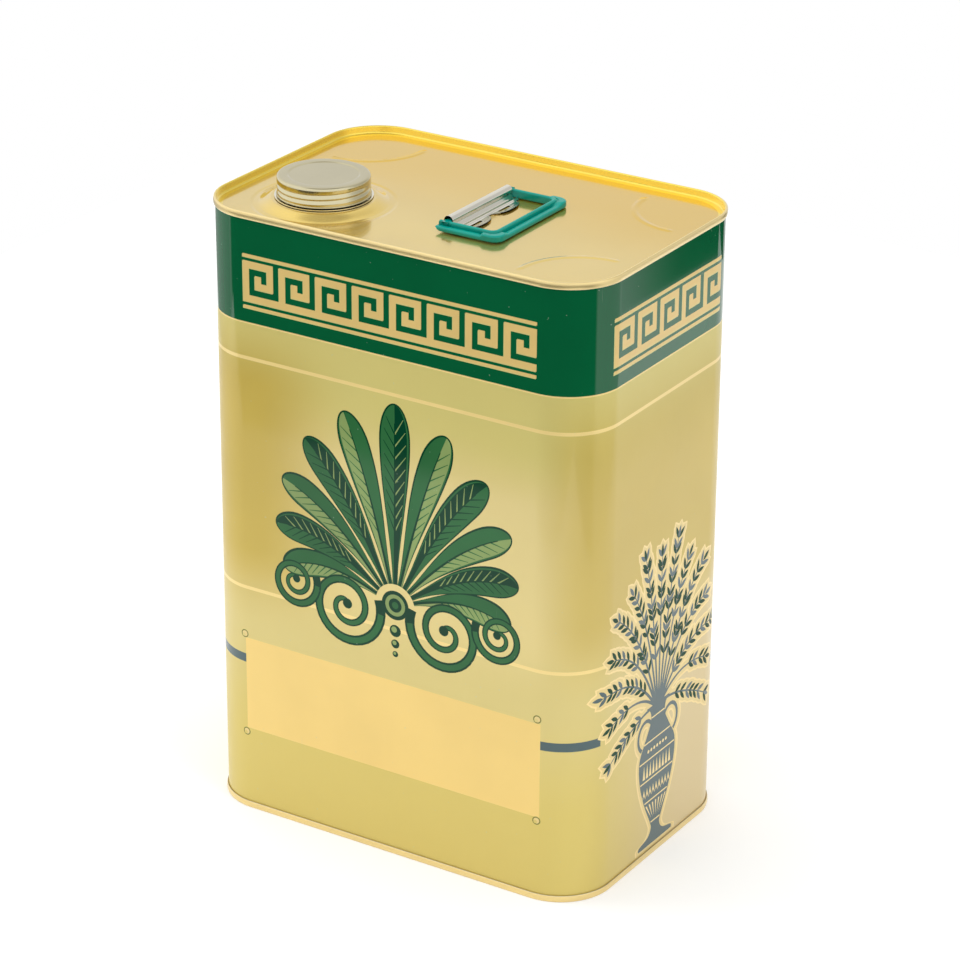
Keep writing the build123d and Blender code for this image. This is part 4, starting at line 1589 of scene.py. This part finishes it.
@dataclass
class ScrewCap:
    """Drawn cap: dropped disc, rounded shoulder, skirt with a rolled thread, and a curled edge."""

    centre: Point2
    base: float
    top: float
    radius: float
    sheet: float = 0.25
    shoulder: float = 1.2
    rim_width: float = 4.2
    disc_drop: float = 0.35
    disc_slope: float = 0.4
    disc_ease: float = 0.3
    curl: float = 0.3
    thread_pitch: float = 2.2
    thread_start: float = math.radians(161)
    thread_rise: float = 2.05
    thread_turns: float = 1.62
    thread_depth: float = 0.62
    thread_above: float = 0.5
    thread_below: float = 1.55
    thread_fade: float = 0.12
    segments: int = 168
    skirt_rows: int = 44
    twist_step: float = 0.02

    def _groove(self, angle: float, level: float) -> float:
        """Depth of the rolled thread at a place on the skirt."""
        depth = 0.0
        turned = (angle - self.thread_start) / (2 * math.pi) % 1
        for along in (turned, turned + 1):
            gap = level - self.base - self.thread_rise - along * self.thread_pitch
            gap /= self.thread_above if gap > 0 else -self.thread_below
            if along <= self.thread_turns and gap < 1:
                fade = smooth_step(along / self.thread_fade)
                fade *= smooth_step((self.thread_turns - along) / self.thread_fade)
                depth = max(depth, self.thread_depth * fade * (0.5 + 0.5 * math.cos(math.pi * gap)))
        return depth

    def _profile(self, inset: float) -> list[tuple[float, float, bool]]:
        """Section from the middle of the disc to the foot of the skirt.

        Args:
            inset: Depth below the outer face.

        Returns:
            Radius, height and whether the thread is rolled there.
        """
        top = self.top - inset
        step = self.radius - self.rim_width
        disc = step - self.disc_slope
        lower = top - self.disc_drop
        found = [(radius, lower, False) for radius in steps(0.0, disc - self.disc_slope * 1.5, 3)]
        for share in steps(0.0, 1.0, 8):
            radius = between(disc - self.disc_ease, step + self.disc_ease, share)
            found.append((radius, between(lower, top, smooth_step(share)), False))
        bend = self.shoulder - inset
        found.append((self.radius - self.shoulder * 1.75, top, False))
        for angle in steps(0.0, math.pi / 2, 8):
            found.append((self.radius - self.shoulder + bend * math.sin(angle),
                          self.top - self.shoulder + bend * math.cos(angle), False))
        skirt_low = self.base + self.curl * 2
        for level in steps(self.top - self.shoulder, skirt_low, self.skirt_rows)[1:]:
            found.append((self.radius - inset, level, True))
        return found

    def _turned(self, angle: float, radius: float, level: float, normal: Point3, facing: float) -> Station:
        """Station at an angle, with its normal as distance out, distance round and height."""
        x, y = math.cos(angle), math.sin(angle)
        out, twist, rise = normal
        turned = Vector((x * out - y * twist, y * out + x * twist, rise)).normalized() * facing
        return (self.centre[0] + x * radius, self.centre[1] + y * radius, level), tuple(turned)

    def _angles(self) -> list[float]:
        """Angles of the cap's segments."""
        return steps(0.0, 2 * math.pi, self.segments)[:-1]

    def _rows(self, inset: float, facing: float) -> list[list[Station]]:
        """Stations of one face of the cap's sheet."""
        profile = self._profile(inset)
        rows = []
        for angle in self._angles():
            path = [(radius - (self._groove(angle, level) if rolled else 0.0), level)
                    for radius, level, rolled in profile]
            row = []
            for (radius, level), (out, rise), (_, _, rolled) in zip(path, left_normals(path), profile):
                twist = 0.0
                if rolled:
                    step = self.twist_step
                    deeper = self._groove(angle + step, level) - self._groove(angle - step, level)
                    twist = out * deeper / (2 * step * self.radius)
                row.append(self._turned(angle, radius, level, (out, twist, rise), facing))
            rows.append(row)
        return rows

    def _curl_rows(self) -> list[list[Station]]:
        """Edge rolled outwards into a small bead."""
        middle = self.base + self.curl
        return [[self._turned(angle, self.radius + self.curl * math.cos(turn),
                              middle + self.curl * math.sin(turn), (math.cos(turn), 0.0, math.sin(turn)), 1.0)
                 for turn in steps(math.pi / 2, -math.pi * 1.5, 16)] for angle in self._angles()]

    def build(self, material: Material) -> SceneObject:
        """Makes the cap, riding on the body that turns.

        Args:
            material: Finish of the cap.

        Returns:
            The new cap.
        """
        skin = Skin()
        outer = self._rows(0.0, 1.0)
        inner = self._rows(self.sheet, -1.0)
        skin.grid(outer, wrap=True)
        skin.grid(inner, wrap=True, flip=True)
        skin.grid([[first[-1], second[-1]] for first, second in zip(outer, inner)], wrap=True)
        skin.grid(self._curl_rows(), wrap=True)
        cap = skin.build("screw_cap", [material])
        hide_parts("cap_shell")
        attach(cap, "cap")
        return cap


@dataclass
class CarryHandle:
    """Moulded loop: round inner rib, groove, outer flange, thicker corners and the bar inside the bracket."""

    low: Vector
    high: Vector
    axis_x: float
    axis_z: float
    rim: float = 4.6
    rib: float = 1.6
    groove: float = 0.7
    groove_drop: float = 1.75
    flange_drop: float = 1.15
    pad_drop: float = 0.3
    pad_groove_drop: float = 0.62
    base_drop: float = 3.0
    inner_corner: float = 2.5
    corner_run: float = 7.5
    outer_corner: float = 4.2
    pad_arm: float = 8.5
    pad_fade: float = 0.9
    pad_hold: float = 1 / 6
    foot_rounds: Point2 = (0.4, 0.6)
    flange_round: float = 0.8
    groove_round: float = 0.2
    groove_lip_share: float = 0.4
    rib_round: float = 0.76
    bar_radius: float = 1.45
    bar_sides: int = 32
    end_round: float = 0.3
    end_shrink: float = 0.16
    end_shares: tuple[float, ...] = (1.0, 0.9, 0.7, 0.4)
    # Stations along an arm, from its free end and from the bar's axis
    end_stations: tuple[float, ...] = (0.0, 0.7, 1.5)
    axis_stations: tuple[float, ...] = (0.0, 3.0, 6.0)

    @property
    def middle(self) -> float:
        """Place of the loop's plane of symmetry."""
        return (self.low.y + self.high.y) / 2

    def _section(self, pad: float) -> list[Point2]:
        """Section of the moulding.

        Args:
            pad: Share of the corner pad, from 0 on the plain rim to 1.

        Returns:
            Outline as distance from the inner edge and height over the bar's axis.
        """
        flange = -between(self.flange_drop, self.pad_drop, pad)
        groove = -between(self.groove_drop, self.pad_groove_drop, pad)
        rib_top = self.high.z - self.axis_z
        step = self.rib + self.groove
        lip = (flange - groove) * self.groove_lip_share
        corners = ((0.0, -self.base_drop), (self.rim, -self.base_drop), (self.rim, flange), (step, flange),
                   (step, groove), (self.rib, groove), (self.rib, rib_top), (0.0, rib_top))
        radii = (*self.foot_rounds, self.flange_round, lip, lip, self.groove_round, self.rib_round,
                 self.rib_round)
        return rounded_loop(corners, radii)[::-1]

    def _stations(self) -> Iterator[tuple[Point2, Point2, float]]:
        """Near half of the loop from its free end to the grip's middle.

        Returns:
            Inner point, outer point and share of the pad at each station.
        """
        inner_y, outer_y = self.low.y + self.rim, self.low.y
        inner_x, outer_x = self.high.x - self.rim, self.high.x
        ends = [self.low.x + self.end_round + x for x in self.end_stations]
        for x in ends + [self.axis_x + x for x in self.axis_stations]:
            yield (x, inner_y), (x, outer_y), 0.0
        start = inner_x - self.corner_run
        for share in steps(0.0, 1.0, 16):
            inner = between(start, inner_x - self.inner_corner, share)
            outer = between(start, outer_x - self.outer_corner, share)
            reach = (inner + outer) / 2 - (outer_x - self.pad_arm)
            yield (inner, inner_y), (outer, outer_y), smooth_step(reach / self.pad_fade + 0.5)
        inner_start, outer_start = inner_y + self.inner_corner, outer_y + self.outer_corner
        for turn in steps(0.0, math.pi / 2, 10)[1:]:
            out, back = 1 - math.sin(turn), math.cos(turn)
            yield ((inner_x - self.inner_corner * out, inner_start - self.inner_corner * back),
                   (outer_x - self.outer_corner * out, outer_start - self.outer_corner * back), 1.0)
        for share in steps(0.0, 1.0, 8)[1:]:
            level = inner_start + share * self.inner_corner
            yield ((inner_x, level), (outer_x, between(outer_start, level, share)),
                   1 - smooth_step((share - self.pad_hold) / (1 - self.pad_hold)))
        yield (inner_x, self.middle), (outer_x, self.middle), 0.0

    def _row(self, inner: Point2, outer: Point2, pad: float, shrink: float = 0.0) -> list[Point3]:
        """Section placed across the loop, rounded behind the bar so that it can swing.

        Args:
            inner: Place of the section's inner edge in plan.
            outer: Place of its outer edge in plan.
            pad: Share of the corner pad.
            shrink: Share by which the section is drawn in towards its middle.

        Returns:
            Points of the section.
        """
        row = []
        half, level = self.rim / 2, -self.base_drop / 2
        for out, rise in self._section(pad):
            out, rise = between(out, half, shrink), between(rise, level, shrink)
            x = between(inner[0], outer[0], out / self.rim)
            behind = min(self.base_drop, max(0.0, self.axis_x - x))
            rise = max(rise, -math.sqrt(self.base_drop ** 2 - behind ** 2))
            row.append((x, between(inner[1], outer[1], out / self.rim), self.axis_z + rise))
        return row

    def build(self, material: Material) -> SceneObject:
        """Makes the handle, riding on the body that swings.

        Args:
            material: Finish of the handle.

        Returns:
            The new handle.
        """
        stations = list(self._stations())
        near = []
        for share in self.end_shares:
            shrink = self.end_shrink * (1 - math.sqrt(1 - share * share))
            end = self._row(*stations[0], shrink=shrink)
            near.append([(x - self.end_round * share, y, z) for x, y, z in end])
        near += [self._row(*station) for station in stations]
        far = [[(x, self.middle * 2 - y, z) for x, y, z in row] for row in reversed(near[:-1])]
        rows = sheet_stations(near + far, wrap=True)
        skin = Skin()
        skin.grid([row + row[:1] for row in rows])
        for row, far_end in ((rows[0], False), (rows[-1], True)):
            corners = [skin.vertex((x - EDGE_SPLIT, y, z), (-1.0, 0.0, 0.0)) for (x, y, z), _ in row]
            skin.face(corners if far_end else reversed(corners))
        bar = []
        bar_ends = (self.low.y + self.rim / 2, self.high.y - self.rim / 2)
        for turn in steps(0.0, 2 * math.pi, self.bar_sides):
            out, rise = math.cos(turn), math.sin(turn)
            x, z = self.axis_x + out * self.bar_radius, min(self.high.z, self.axis_z + rise * self.bar_radius)
            bar.append([((x, y, z), (out, 0.0, rise)) for y in bar_ends])
        skin.grid(bar)
        handle = skin.build("green_handle", [material])
        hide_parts("carry_handle")
        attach(handle, "handle")
        return handle


@dataclass
class Bracket:
    """Strip rolled into a tube round the handle's bar, pinched into a web, with two half-moon weld lobes."""

    low: Vector
    high: Vector
    sheet: float = 0.4
    bore: float = 1.55
    seam_angle: float = math.radians(-50)
    roll_gap: float = math.radians(24)
    web_gap: float = math.radians(9.6)
    roll_steps: int = 40
    web: tuple[Point2, ...] = ((2.1, -2.95), (3.3, -3.25), (4.2, -2.5), (5.0, -3.2))
    lobe_reach: float = 4.4
    fold_share: float = 0.35
    fold_steps: int = 4
    lobe_margin: float = 2.2
    lobe_gap: float = 2.0
    lobe_curve: float = 2.6
    lobe_blunt: float = 0.72
    lobe_least: float = 0.004
    rim_lift: float = 0.5
    rim_start: float = 0.55
    slot_rows: tuple[int, int] = (5, 14)
    slot_columns: tuple[int, int] = (1, 4)
    rows_per_lobe: int = 22
    lobe_columns: int = 10
    dimple: float = 0.16
    dimple_place: float = 0.42
    dimple_reach: float = 0.6
    dimple_stretch: Point2 = (2.2, 2.6)

    def _roll(self) -> list[Point2]:
        """Middle line of the rolled tube from its free edge over the top to the web."""
        radius = self.bore + self.sheet / 2
        start, end = self.seam_angle - self.roll_gap, self.seam_angle - 2 * math.pi + self.web_gap
        turns = steps(start, end, self.roll_steps)
        return [(radius * math.cos(turn), radius * math.sin(turn)) for turn in turns]

    def _strip(self) -> list[Point2]:
        """Middle line of the tube, the pinched web and the foot."""
        found = self._roll()
        outer = self.bore + self.sheet
        pinch = (math.cos(self.seam_angle) * outer, math.sin(self.seam_angle) * outer)
        path = [Vector(place) for place in (found[-1], pinch, *self.web)]
        for before, here, after in zip(path, path[1:], path[2:]):
            first, last = here.lerp(before, self.fold_share), here.lerp(after, self.fold_share)
            for share in steps(0.0, 1.0, self.fold_steps):
                place = first * (1 - share) ** 2 + here * 2 * share * (1 - share) + last * share ** 2
                found.append((place.x, place.y))
        return [*found, self.web[-1]]

    def _levels(self) -> list[tuple[float, Optional[float]]]:
        """Stations along the bracket, each with its share of the way across a lobe where there is one."""
        span = (self.high.y - self.low.y - self.lobe_margin * 2 - self.lobe_gap) / 2
        found = [(self.low.y, None)]
        for start in (self.low.y + self.lobe_margin, self.high.y - self.lobe_margin - span):
            found += [(start + span * share, share) for share in steps(0.0, 1.0, self.rows_per_lobe)]
        return [*found, (self.high.y, None)]

    def _lobe(self, share: Optional[float]) -> Iterator[Point2]:
        """Way out and rise of each column of the foot, at a share of the way across a lobe."""
        turn = 0.0 if share is None else share * 2 - 1
        width = max(self.lobe_least, 1 - abs(turn) ** self.lobe_curve) ** self.lobe_blunt
        for along in steps(0.0, 1.0, self.lobe_columns)[1:]:
            lift = self.rim_lift * smooth_step((along - self.rim_start) / (1 - self.rim_start)) * width ** 0.5
            gap = math.hypot(turn * self.dimple_stretch[0],
                             (along - self.dimple_place) * self.dimple_stretch[1])
            sink = self.dimple * (1 - smooth_step(gap / self.dimple_reach))
            yield self.lobe_reach * width * along, lift - sink

    def _kept(self, number: int, column: int) -> bool:
        """Whether a cell of the foot is there: the lobes end between each other, and each has a slot."""
        if column < 0:
            return True
        lobe, place = divmod(number - 1, self.rows_per_lobe + 1)
        if number < 1 or place == self.rows_per_lobe or lobe > 1:
            return False
        return not (column in range(*self.slot_columns) and place in range(*self.slot_rows))

    def build(self, material: Material) -> SceneObject:
        """Makes the bracket, riding on the tin.

        Args:
            material: Finish of the bracket.

        Returns:
            The new bracket.
        """
        radius = self.bore + self.sheet
        axis_x, axis_z = self.low.x + radius, self.high.z - radius
        strip = self._strip()
        foot_x, foot_z = strip[-1]
        rows = []
        for level, share in self._levels():
            section = strip + [(foot_x + out, foot_z + rise) for out, rise in self._lobe(share)]
            rows.append([(axis_x + x, level, axis_z + z) for x, z in section])
        skin = Skin()
        skin.plate(rows, self.sheet, lambda number, column: self._kept(number, column - len(strip) + 1))
        bracket = skin.build("rolled_bracket", [material])
        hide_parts("handle_bracket")
        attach(bracket, "tin")
        return bracket


@dataclass
class PhotoCamera:
    """Camera at the photograph's viewing angle, square on to no face of the tin."""

    azimuth: float = math.radians(32.236)
    elevation: float = math.radians(23.931)
    roll: float = math.radians(0.384)
    distance: float = 1528.3
    pan: Point2 = (-5.49, -128.33)
    focal_pixels: float = 3712.1
    image_pixels: float = 960.0
    sensor: float = 36.0

    def build(self) -> SceneObject:
        """Makes the camera and sets it as the scene's."""
        back = Vector((math.sin(self.azimuth) * math.cos(self.elevation),
                       -math.cos(self.azimuth) * math.cos(self.elevation), math.sin(self.elevation)))
        level = Vector((math.cos(self.azimuth), math.sin(self.azimuth), 0.0))
        upright = back.cross(level)
        right = level * math.cos(self.roll) + upright * math.sin(self.roll)
        up = upright * math.cos(self.roll) - level * math.sin(self.roll)
        turn = Matrix((right, up, back)).transposed()
        place = turn @ Vector((-self.pan[0], -self.pan[1], self.distance)) * MM
        data = bpy.data.cameras.new("photo_camera")
        data.sensor_width = self.sensor
        data.lens = self.focal_pixels / self.image_pixels * self.sensor
        data.clip_start = self.distance * 0.1 * MM
        data.clip_end = self.distance * 10 * MM
        camera = bpy.data.objects.new("photo_camera", data)
        camera.matrix_world = Matrix.Translation(place) @ turn.to_4x4()
        bpy.context.scene.collection.objects.link(camera)
        bpy.context.scene.camera = camera
        return camera


@dataclass(frozen=True)
class Gap:
    """Dim stretch of the tent's foot, by its directions in degrees from the front to the right."""

    start: float
    end: float
    soft: float
    level: float


@dataclass(frozen=True)
class SoftBox:
    """Square lamp: name, place and size in millimetres, and power in watts."""

    name: str
    place: Point3
    size: float
    power: float


@dataclass
class Studio:
    """White light tent, open towards the camera: floor sheet, world and three soft lamps."""

    floor_low: Point2 = (-560.0, -380.0)
    floor_high: Point2 = (396.0, 680.0)
    floor_colour: Colour = (0.86, 0.86, 0.86)
    floor_lift: float = 0.22
    ambient: float = 0.62
    gaps: tuple[Gap, ...] = (Gap(-60, 86, 3, 0.03), Gap(150.4, 185, 0.7, 0.03), Gap(-146, -62, 3, 0.5),
                             Gap(85, 145, 3, 0.7))
    gap_top: float = -0.16
    gap_fade: float = 0.1
    roof: Point2 = (0.86, 0.96)
    roof_level: float = 0.45
    far_right: Point2 = (math.radians(140), math.radians(34))
    far_right_soft: float = math.radians(12)
    far_right_level: float = 0.72
    far_right_foot: Point2 = (0.05, 0.15)
    sill: Point2 = (0.03, 0.03)
    sill_soft: float = 0.006
    sill_level: float = 0.35
    sill_front: Point2 = (0.2, 0.5)
    back_level: float = 0.82
    front_level: float = 1.2
    back_to_front: Point2 = (-0.9, 0.2)
    aim: Point3 = (0.0, 0.0, 130.0)
    boxes: tuple[SoftBox, ...] = (
        SoftBox("overhead_box", (-150.0, 60.0, 1250.0), 900.0, 6.5),
        SoftBox("left_box", (-950.0, -420.0, 620.0), 600.0, 4.0),
        SoftBox("right_box", (1000.0, -250.0, 700.0), 600.0, 3.0))

    def floor(self) -> SceneObject:
        """Pale floor that keeps the tin's shadow."""
        made = bpy.data.materials.new("paper_floor")
        graph = Graph(made)
        paper = graph.node("ShaderNodeBsdfDiffuse", Color=(*self.floor_colour, 1.0), Roughness=0.6)
        path = graph.node("ShaderNodeLightPath")
        seen = graph.math("MAXIMUM", path.outputs["Is Camera Ray"], path.outputs["Is Glossy Ray"])
        glow = graph.node("ShaderNodeEmission", Strength=graph.math("MULTIPLY", seen, self.floor_lift))
        total = graph.node("ShaderNodeAddShader")
        graph.tree.links.new(paper.outputs[0], total.inputs[0])
        graph.tree.links.new(glow.outputs[0], total.inputs[1])
        graph.finish(total)
        skin = Skin()
        (left, near), (right, far) = self.floor_low, self.floor_high
        corners = ((left, near), (right, near), (right, far), (left, far))
        skin.face([skin.vertex((x, y, 0.0), (0.0, 0.0, 1.0)) for x, y in corners])
        floor = skin.build("paper_floor", [made])
        floor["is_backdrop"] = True
        return floor

    @staticmethod
    def _near(graph: Graph, value: Socket, middle: float, half: float, soft: float) -> Socket:
        """Share that is 1 within a half width of a value's middle, and fades out over a soft edge."""
        away = graph.math("ABSOLUTE", graph.math("SUBTRACT", value, middle))
        return graph.ease(away, (half - soft, half + soft), 1.0, 0.0)

    @staticmethod
    def _dimmed(graph: Graph, level: Socket, amount: Socket) -> Socket:
        """Brightness less a share of itself."""
        return graph.product(level, graph.math("SUBTRACT", 1.0, amount))

    def _gloss_level(self, graph: Graph) -> Socket:
        """Brightness that gloss sees: a bright tent with dark gaps past the floor and a dimmer roof."""
        direction = graph.node("ShaderNodeTexCoord")
        split = graph.node("ShaderNodeSeparateXYZ", Vector=direction.outputs["Generated"])
        height = split.outputs["Z"]
        front = graph.product(split.outputs["Y"], -1.0)
        turned = graph.math("ARCTAN2", split.outputs["X"], front)
        level = graph.ease(front, self.back_to_front, self.back_level, self.front_level)
        level = graph.product(level, graph.ease(height, self.roof, 1.0, self.roof_level))
        low = graph.ease(height, (self.gap_top - self.gap_fade, self.gap_top), 1.0, 0.0)
        for gap in self.gaps:
            middle, half = math.radians(gap.start + gap.end) / 2, math.radians(gap.end - gap.start) / 2
            inside = self._near(graph, turned, middle, half, math.radians(gap.soft))
            level = self._dimmed(graph, level, graph.product(inside, low, 1 - gap.level))
        wing = self._near(graph, turned, *self.far_right, self.far_right_soft)
        rise = graph.ease(height, self.far_right_foot, 0.0, 1 - self.far_right_level)
        level = self._dimmed(graph, level, graph.product(wing, rise))
        sill = self._near(graph, height, *self.sill, self.sill_soft)
        ahead = graph.ease(front, self.sill_front, 0.0, 1 - self.sill_level)
        return self._dimmed(graph, level, graph.product(sill, ahead))

    def world(self) -> bpy.types.World:
        """White all round for the camera, a light tent for gloss, and plain soft light for the rest."""
        world = bpy.data.worlds.new("light_tent")
        graph = Graph(world)
        path = graph.node("ShaderNodeLightPath")
        level = graph.node("ShaderNodeMix", {"data_type": "FLOAT"}, Factor=path.outputs["Is Glossy Ray"],
                           A=self.ambient, B=self._gloss_level(graph))
        seen = graph.math("MAXIMUM", path.outputs["Is Camera Ray"], path.outputs["Is Transmission Ray"])
        shown = graph.node("ShaderNodeMix", {"data_type": "FLOAT"}, Factor=seen,
                           A=level.outputs["Result"], B=1.0)
        background = graph.node("ShaderNodeBackground", Color=(1.0, 1.0, 1.0, 1.0),
                                Strength=shown.outputs["Result"])
        graph.node("ShaderNodeOutputWorld", Surface=background.outputs[0])
        bpy.context.scene.world = world
        return world

    def lamps(self) -> list[SceneObject]:
        """Overhead, left and right soft boxes, aimed at the tin."""
        found = []
        for box in self.boxes:
            data = bpy.data.lights.new(box.name, "AREA")
            data.shape = "SQUARE"
            data.size = box.size * MM
            data.energy = box.power
            lamp = bpy.data.objects.new(box.name, data)
            lamp.visible_glossy = False
            lamp.location = Vector(box.place) * MM
            lamp.rotation_euler = (Vector(self.aim) - Vector(box.place)).to_track_quat("-Z", "Y").to_euler()
            bpy.context.scene.collection.objects.link(lamp)
            found.append(lamp)
        return found


def tin_outline() -> TinOutline:
    """Body wall in plan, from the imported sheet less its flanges."""
    _, high = node_box("body_wrapper")
    flange = PrintedBody.hook_reach + PrintedBody.sheet / 2
    return TinOutline(high.x - flange, high.y - flange)


def body_inks() -> dict[Ink, Material]:
    """Materials of all printed inks."""
    sand, pale = srgb(222, 202, 115), srgb(222, 205, 134)
    cream, straw = srgb(233, 214, 146), srgb(221, 208, 128)
    finishes = {
        # In the field, its first colour is a painted shade and its last one a painted pale reflection low on
        # the sides
        Ink.FIELD: WashedLacquerWithPaintedShade(
            "gold_field", srgb(204, 179, 85), metallic=0.45, roughness=0.48, coat=0.4,
            heights=(0.0, 34.0, 84.0, 116.0, 164.0, 192.0, 220.0),
            colours=(sand, sand, pale, cream, cream, straw, straw), painted_side_haze=srgb(226, 206, 160)),
        Ink.BAND: Lacquer("green_ink", srgb(0, 94, 54), metallic=0.0, roughness=0.4, coat=1.0, mottle=0.05,
                          coat_roughness=0.04, specular=0.0),
        Ink.GOLD_LINE: Lacquer("gold_line", srgb(250, 224, 148), metallic=0.3),
        Ink.FRIEZE: Lacquer("frieze_gold", srgb(234, 202, 126), metallic=0.2, coat=0.6),
        Ink.FRIEZE_EDGE: Lacquer("frieze_edge", srgb(218, 212, 136), metallic=0.2, coat=0.6),
        Ink.PLATE: Lacquer("plate_gold", srgb(250, 217, 132), metallic=0.2, roughness=0.4, coat=0.4),
        Ink.SLATE: Lacquer("slate_ink", srgb(66, 92, 96), metallic=0.0, coat=0.7),
        Ink.HALO: Lacquer("pale_ground", srgb(236, 212, 144), metallic=0.3),
        Ink.HALO_EDGE: Lacquer("pale_edge", srgb(252, 226, 158), metallic=0.2),
        Ink.LEAF_DARK: Lacquer("dark_leaf_ink", srgb(2, 64, 40), metallic=0.0, coat=0.4, specular=0.0),
        Ink.LEAF_MID: Lacquer("middle_leaf_ink", srgb(48, 108, 62), metallic=0.0, coat=0.4, mottle=0.12,
                              specular=0.0),
        Ink.LEAF_LIGHT: Lacquer("light_leaf_ink", srgb(140, 164, 96), metallic=0.1, coat=0.4, mottle=0.1),
        Ink.RING: Lacquer("ring_ink", srgb(116, 118, 40), metallic=0.2),
        Ink.BARE: Lacquer("bare_margin", srgb(206, 198, 168), metallic=0.95, roughness=0.34, coat=0.2),
    }
    return {ink: finish.material() for ink, finish in finishes.items()}


def dress(node: str, material: Material) -> None:
    """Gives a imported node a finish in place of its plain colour.

    Args:
        node: Name of the node.
        material: Finish that it gets.
    """
    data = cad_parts[node].data
    data.materials.clear()
    data.materials.append(material)
    log.info("dressed %s in %s", node, material.name)


def main() -> None:
    """Builds the studio and dresses every piece of the tin."""
    logging.basicConfig(level=logging.INFO, format="%(name)s: %(message)s")
    first_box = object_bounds()
    bpy.context.scene.view_settings.view_transform = "Standard"
    PhotoCamera().build()
    studio = Studio()
    studio.floor()
    studio.world()
    studio.lamps()

    outline = tin_outline()
    _, lid_high = node_box("top_end")
    cap_low, cap_high = node_box("cap_shell")
    neck_low, neck_high = node_box("screw_neck")
    neck = ((neck_low.x + neck_high.x) / 2, (neck_low.y + neck_high.y) / 2)
    gloss = {"metallic": 0.82, "roughness": 0.17, "coat": 0.9, "coat_roughness": 0.05}
    # The lid's gold turns to a painted deeper shade towards the back
    gold = BackShadedTin("lid_lacquer", (0.82, 0.6, 0.15), **gloss, deep=(0.79, 0.5, 0.03))
    rim = BareTin("seam_lacquer", (0.95, 0.72, 0.09), **gloss)
    # The seam's outer face is a paler gold than its inner face
    paler_outer = BareTin("paler_outer_seam", (0.9, 0.71, 0.32), metallic=0.8, roughness=0.3, coat=0.5,
                     coat_roughness=0.16)
    end_finishes = [finish.material() for finish in (gold, rim, paler_outer)]
    bright = BareTin("bright_tinplate", srgb(240, 236, 222), roughness=0.16,
                     lines=Noise(900.0, 2.0, (1.0, 0.05, 1.0))).material()
    cap_finish = BareTin("cap_lacquer", srgb(204, 195, 160), roughness=0.15, coat=0.3).material()
    green = Moulded("green_plastic", srgb(0, 145, 130), roughness=0.3, skin=Noise(700.0), depth=0.00002,
                    subsurface=0.05, coat=0.42, specular=0.1).material()
    bracket_low, bracket_high = node_box("handle_bracket")
    roll = Bracket.bore + Bracket.sheet
    cap_radius = (cap_high.x - cap_low.x) / 2 - ScrewCap.curl
    pieces = [
        PrintedBody(outline, lid_high.z).build(body_inks()),
        TinEnd("lid", "top_end", outline, lid_high.z, countersink=3.2, neck=neck).build(*end_finishes),
        TinEnd("base", "bottom_end", outline, lid_high.z, countersink=3.6, flipped=True).build(*end_finishes),
        ScrewCap(neck, cap_low.z, cap_high.z, cap_radius).build(cap_finish),
        Bracket(bracket_low, bracket_high).build(bright),
        CarryHandle(*node_box("carry_handle"), bracket_low.x + roll, bracket_high.z - roll).build(green),
    ]
    for piece in pieces:
        log.info("built %s with %d faces", piece.name, len(piece.data.polygons))

    rubber = Moulded("sealing_rubber", srgb(52, 50, 48), roughness=0.6, skin=Noise(900.0),
                     depth=0.00004).material()
    foam = Moulded("liner_foam", srgb(240, 240, 234), roughness=0.75, skin=Noise(1600.0), depth=0.00005,
                   subsurface=0.1).material()
    milky = Moulded("milky_plastic", srgb(238, 238, 230), roughness=0.34, skin=Noise(500.0), depth=0.00002,
                    subsurface=0.25).material()
    for node, material in (
        ("top_seam_compound", rubber), ("bottom_seam_compound", rubber), ("neck_gasket", rubber),
        ("screw_neck", bright), ("pour_spout", milky), ("cap_liner", foam),
    ):
        dress(node, material)

    boxes = [[list(corner) for corner in box] for box in (first_box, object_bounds())]


if __name__ == "__main__":
    main()
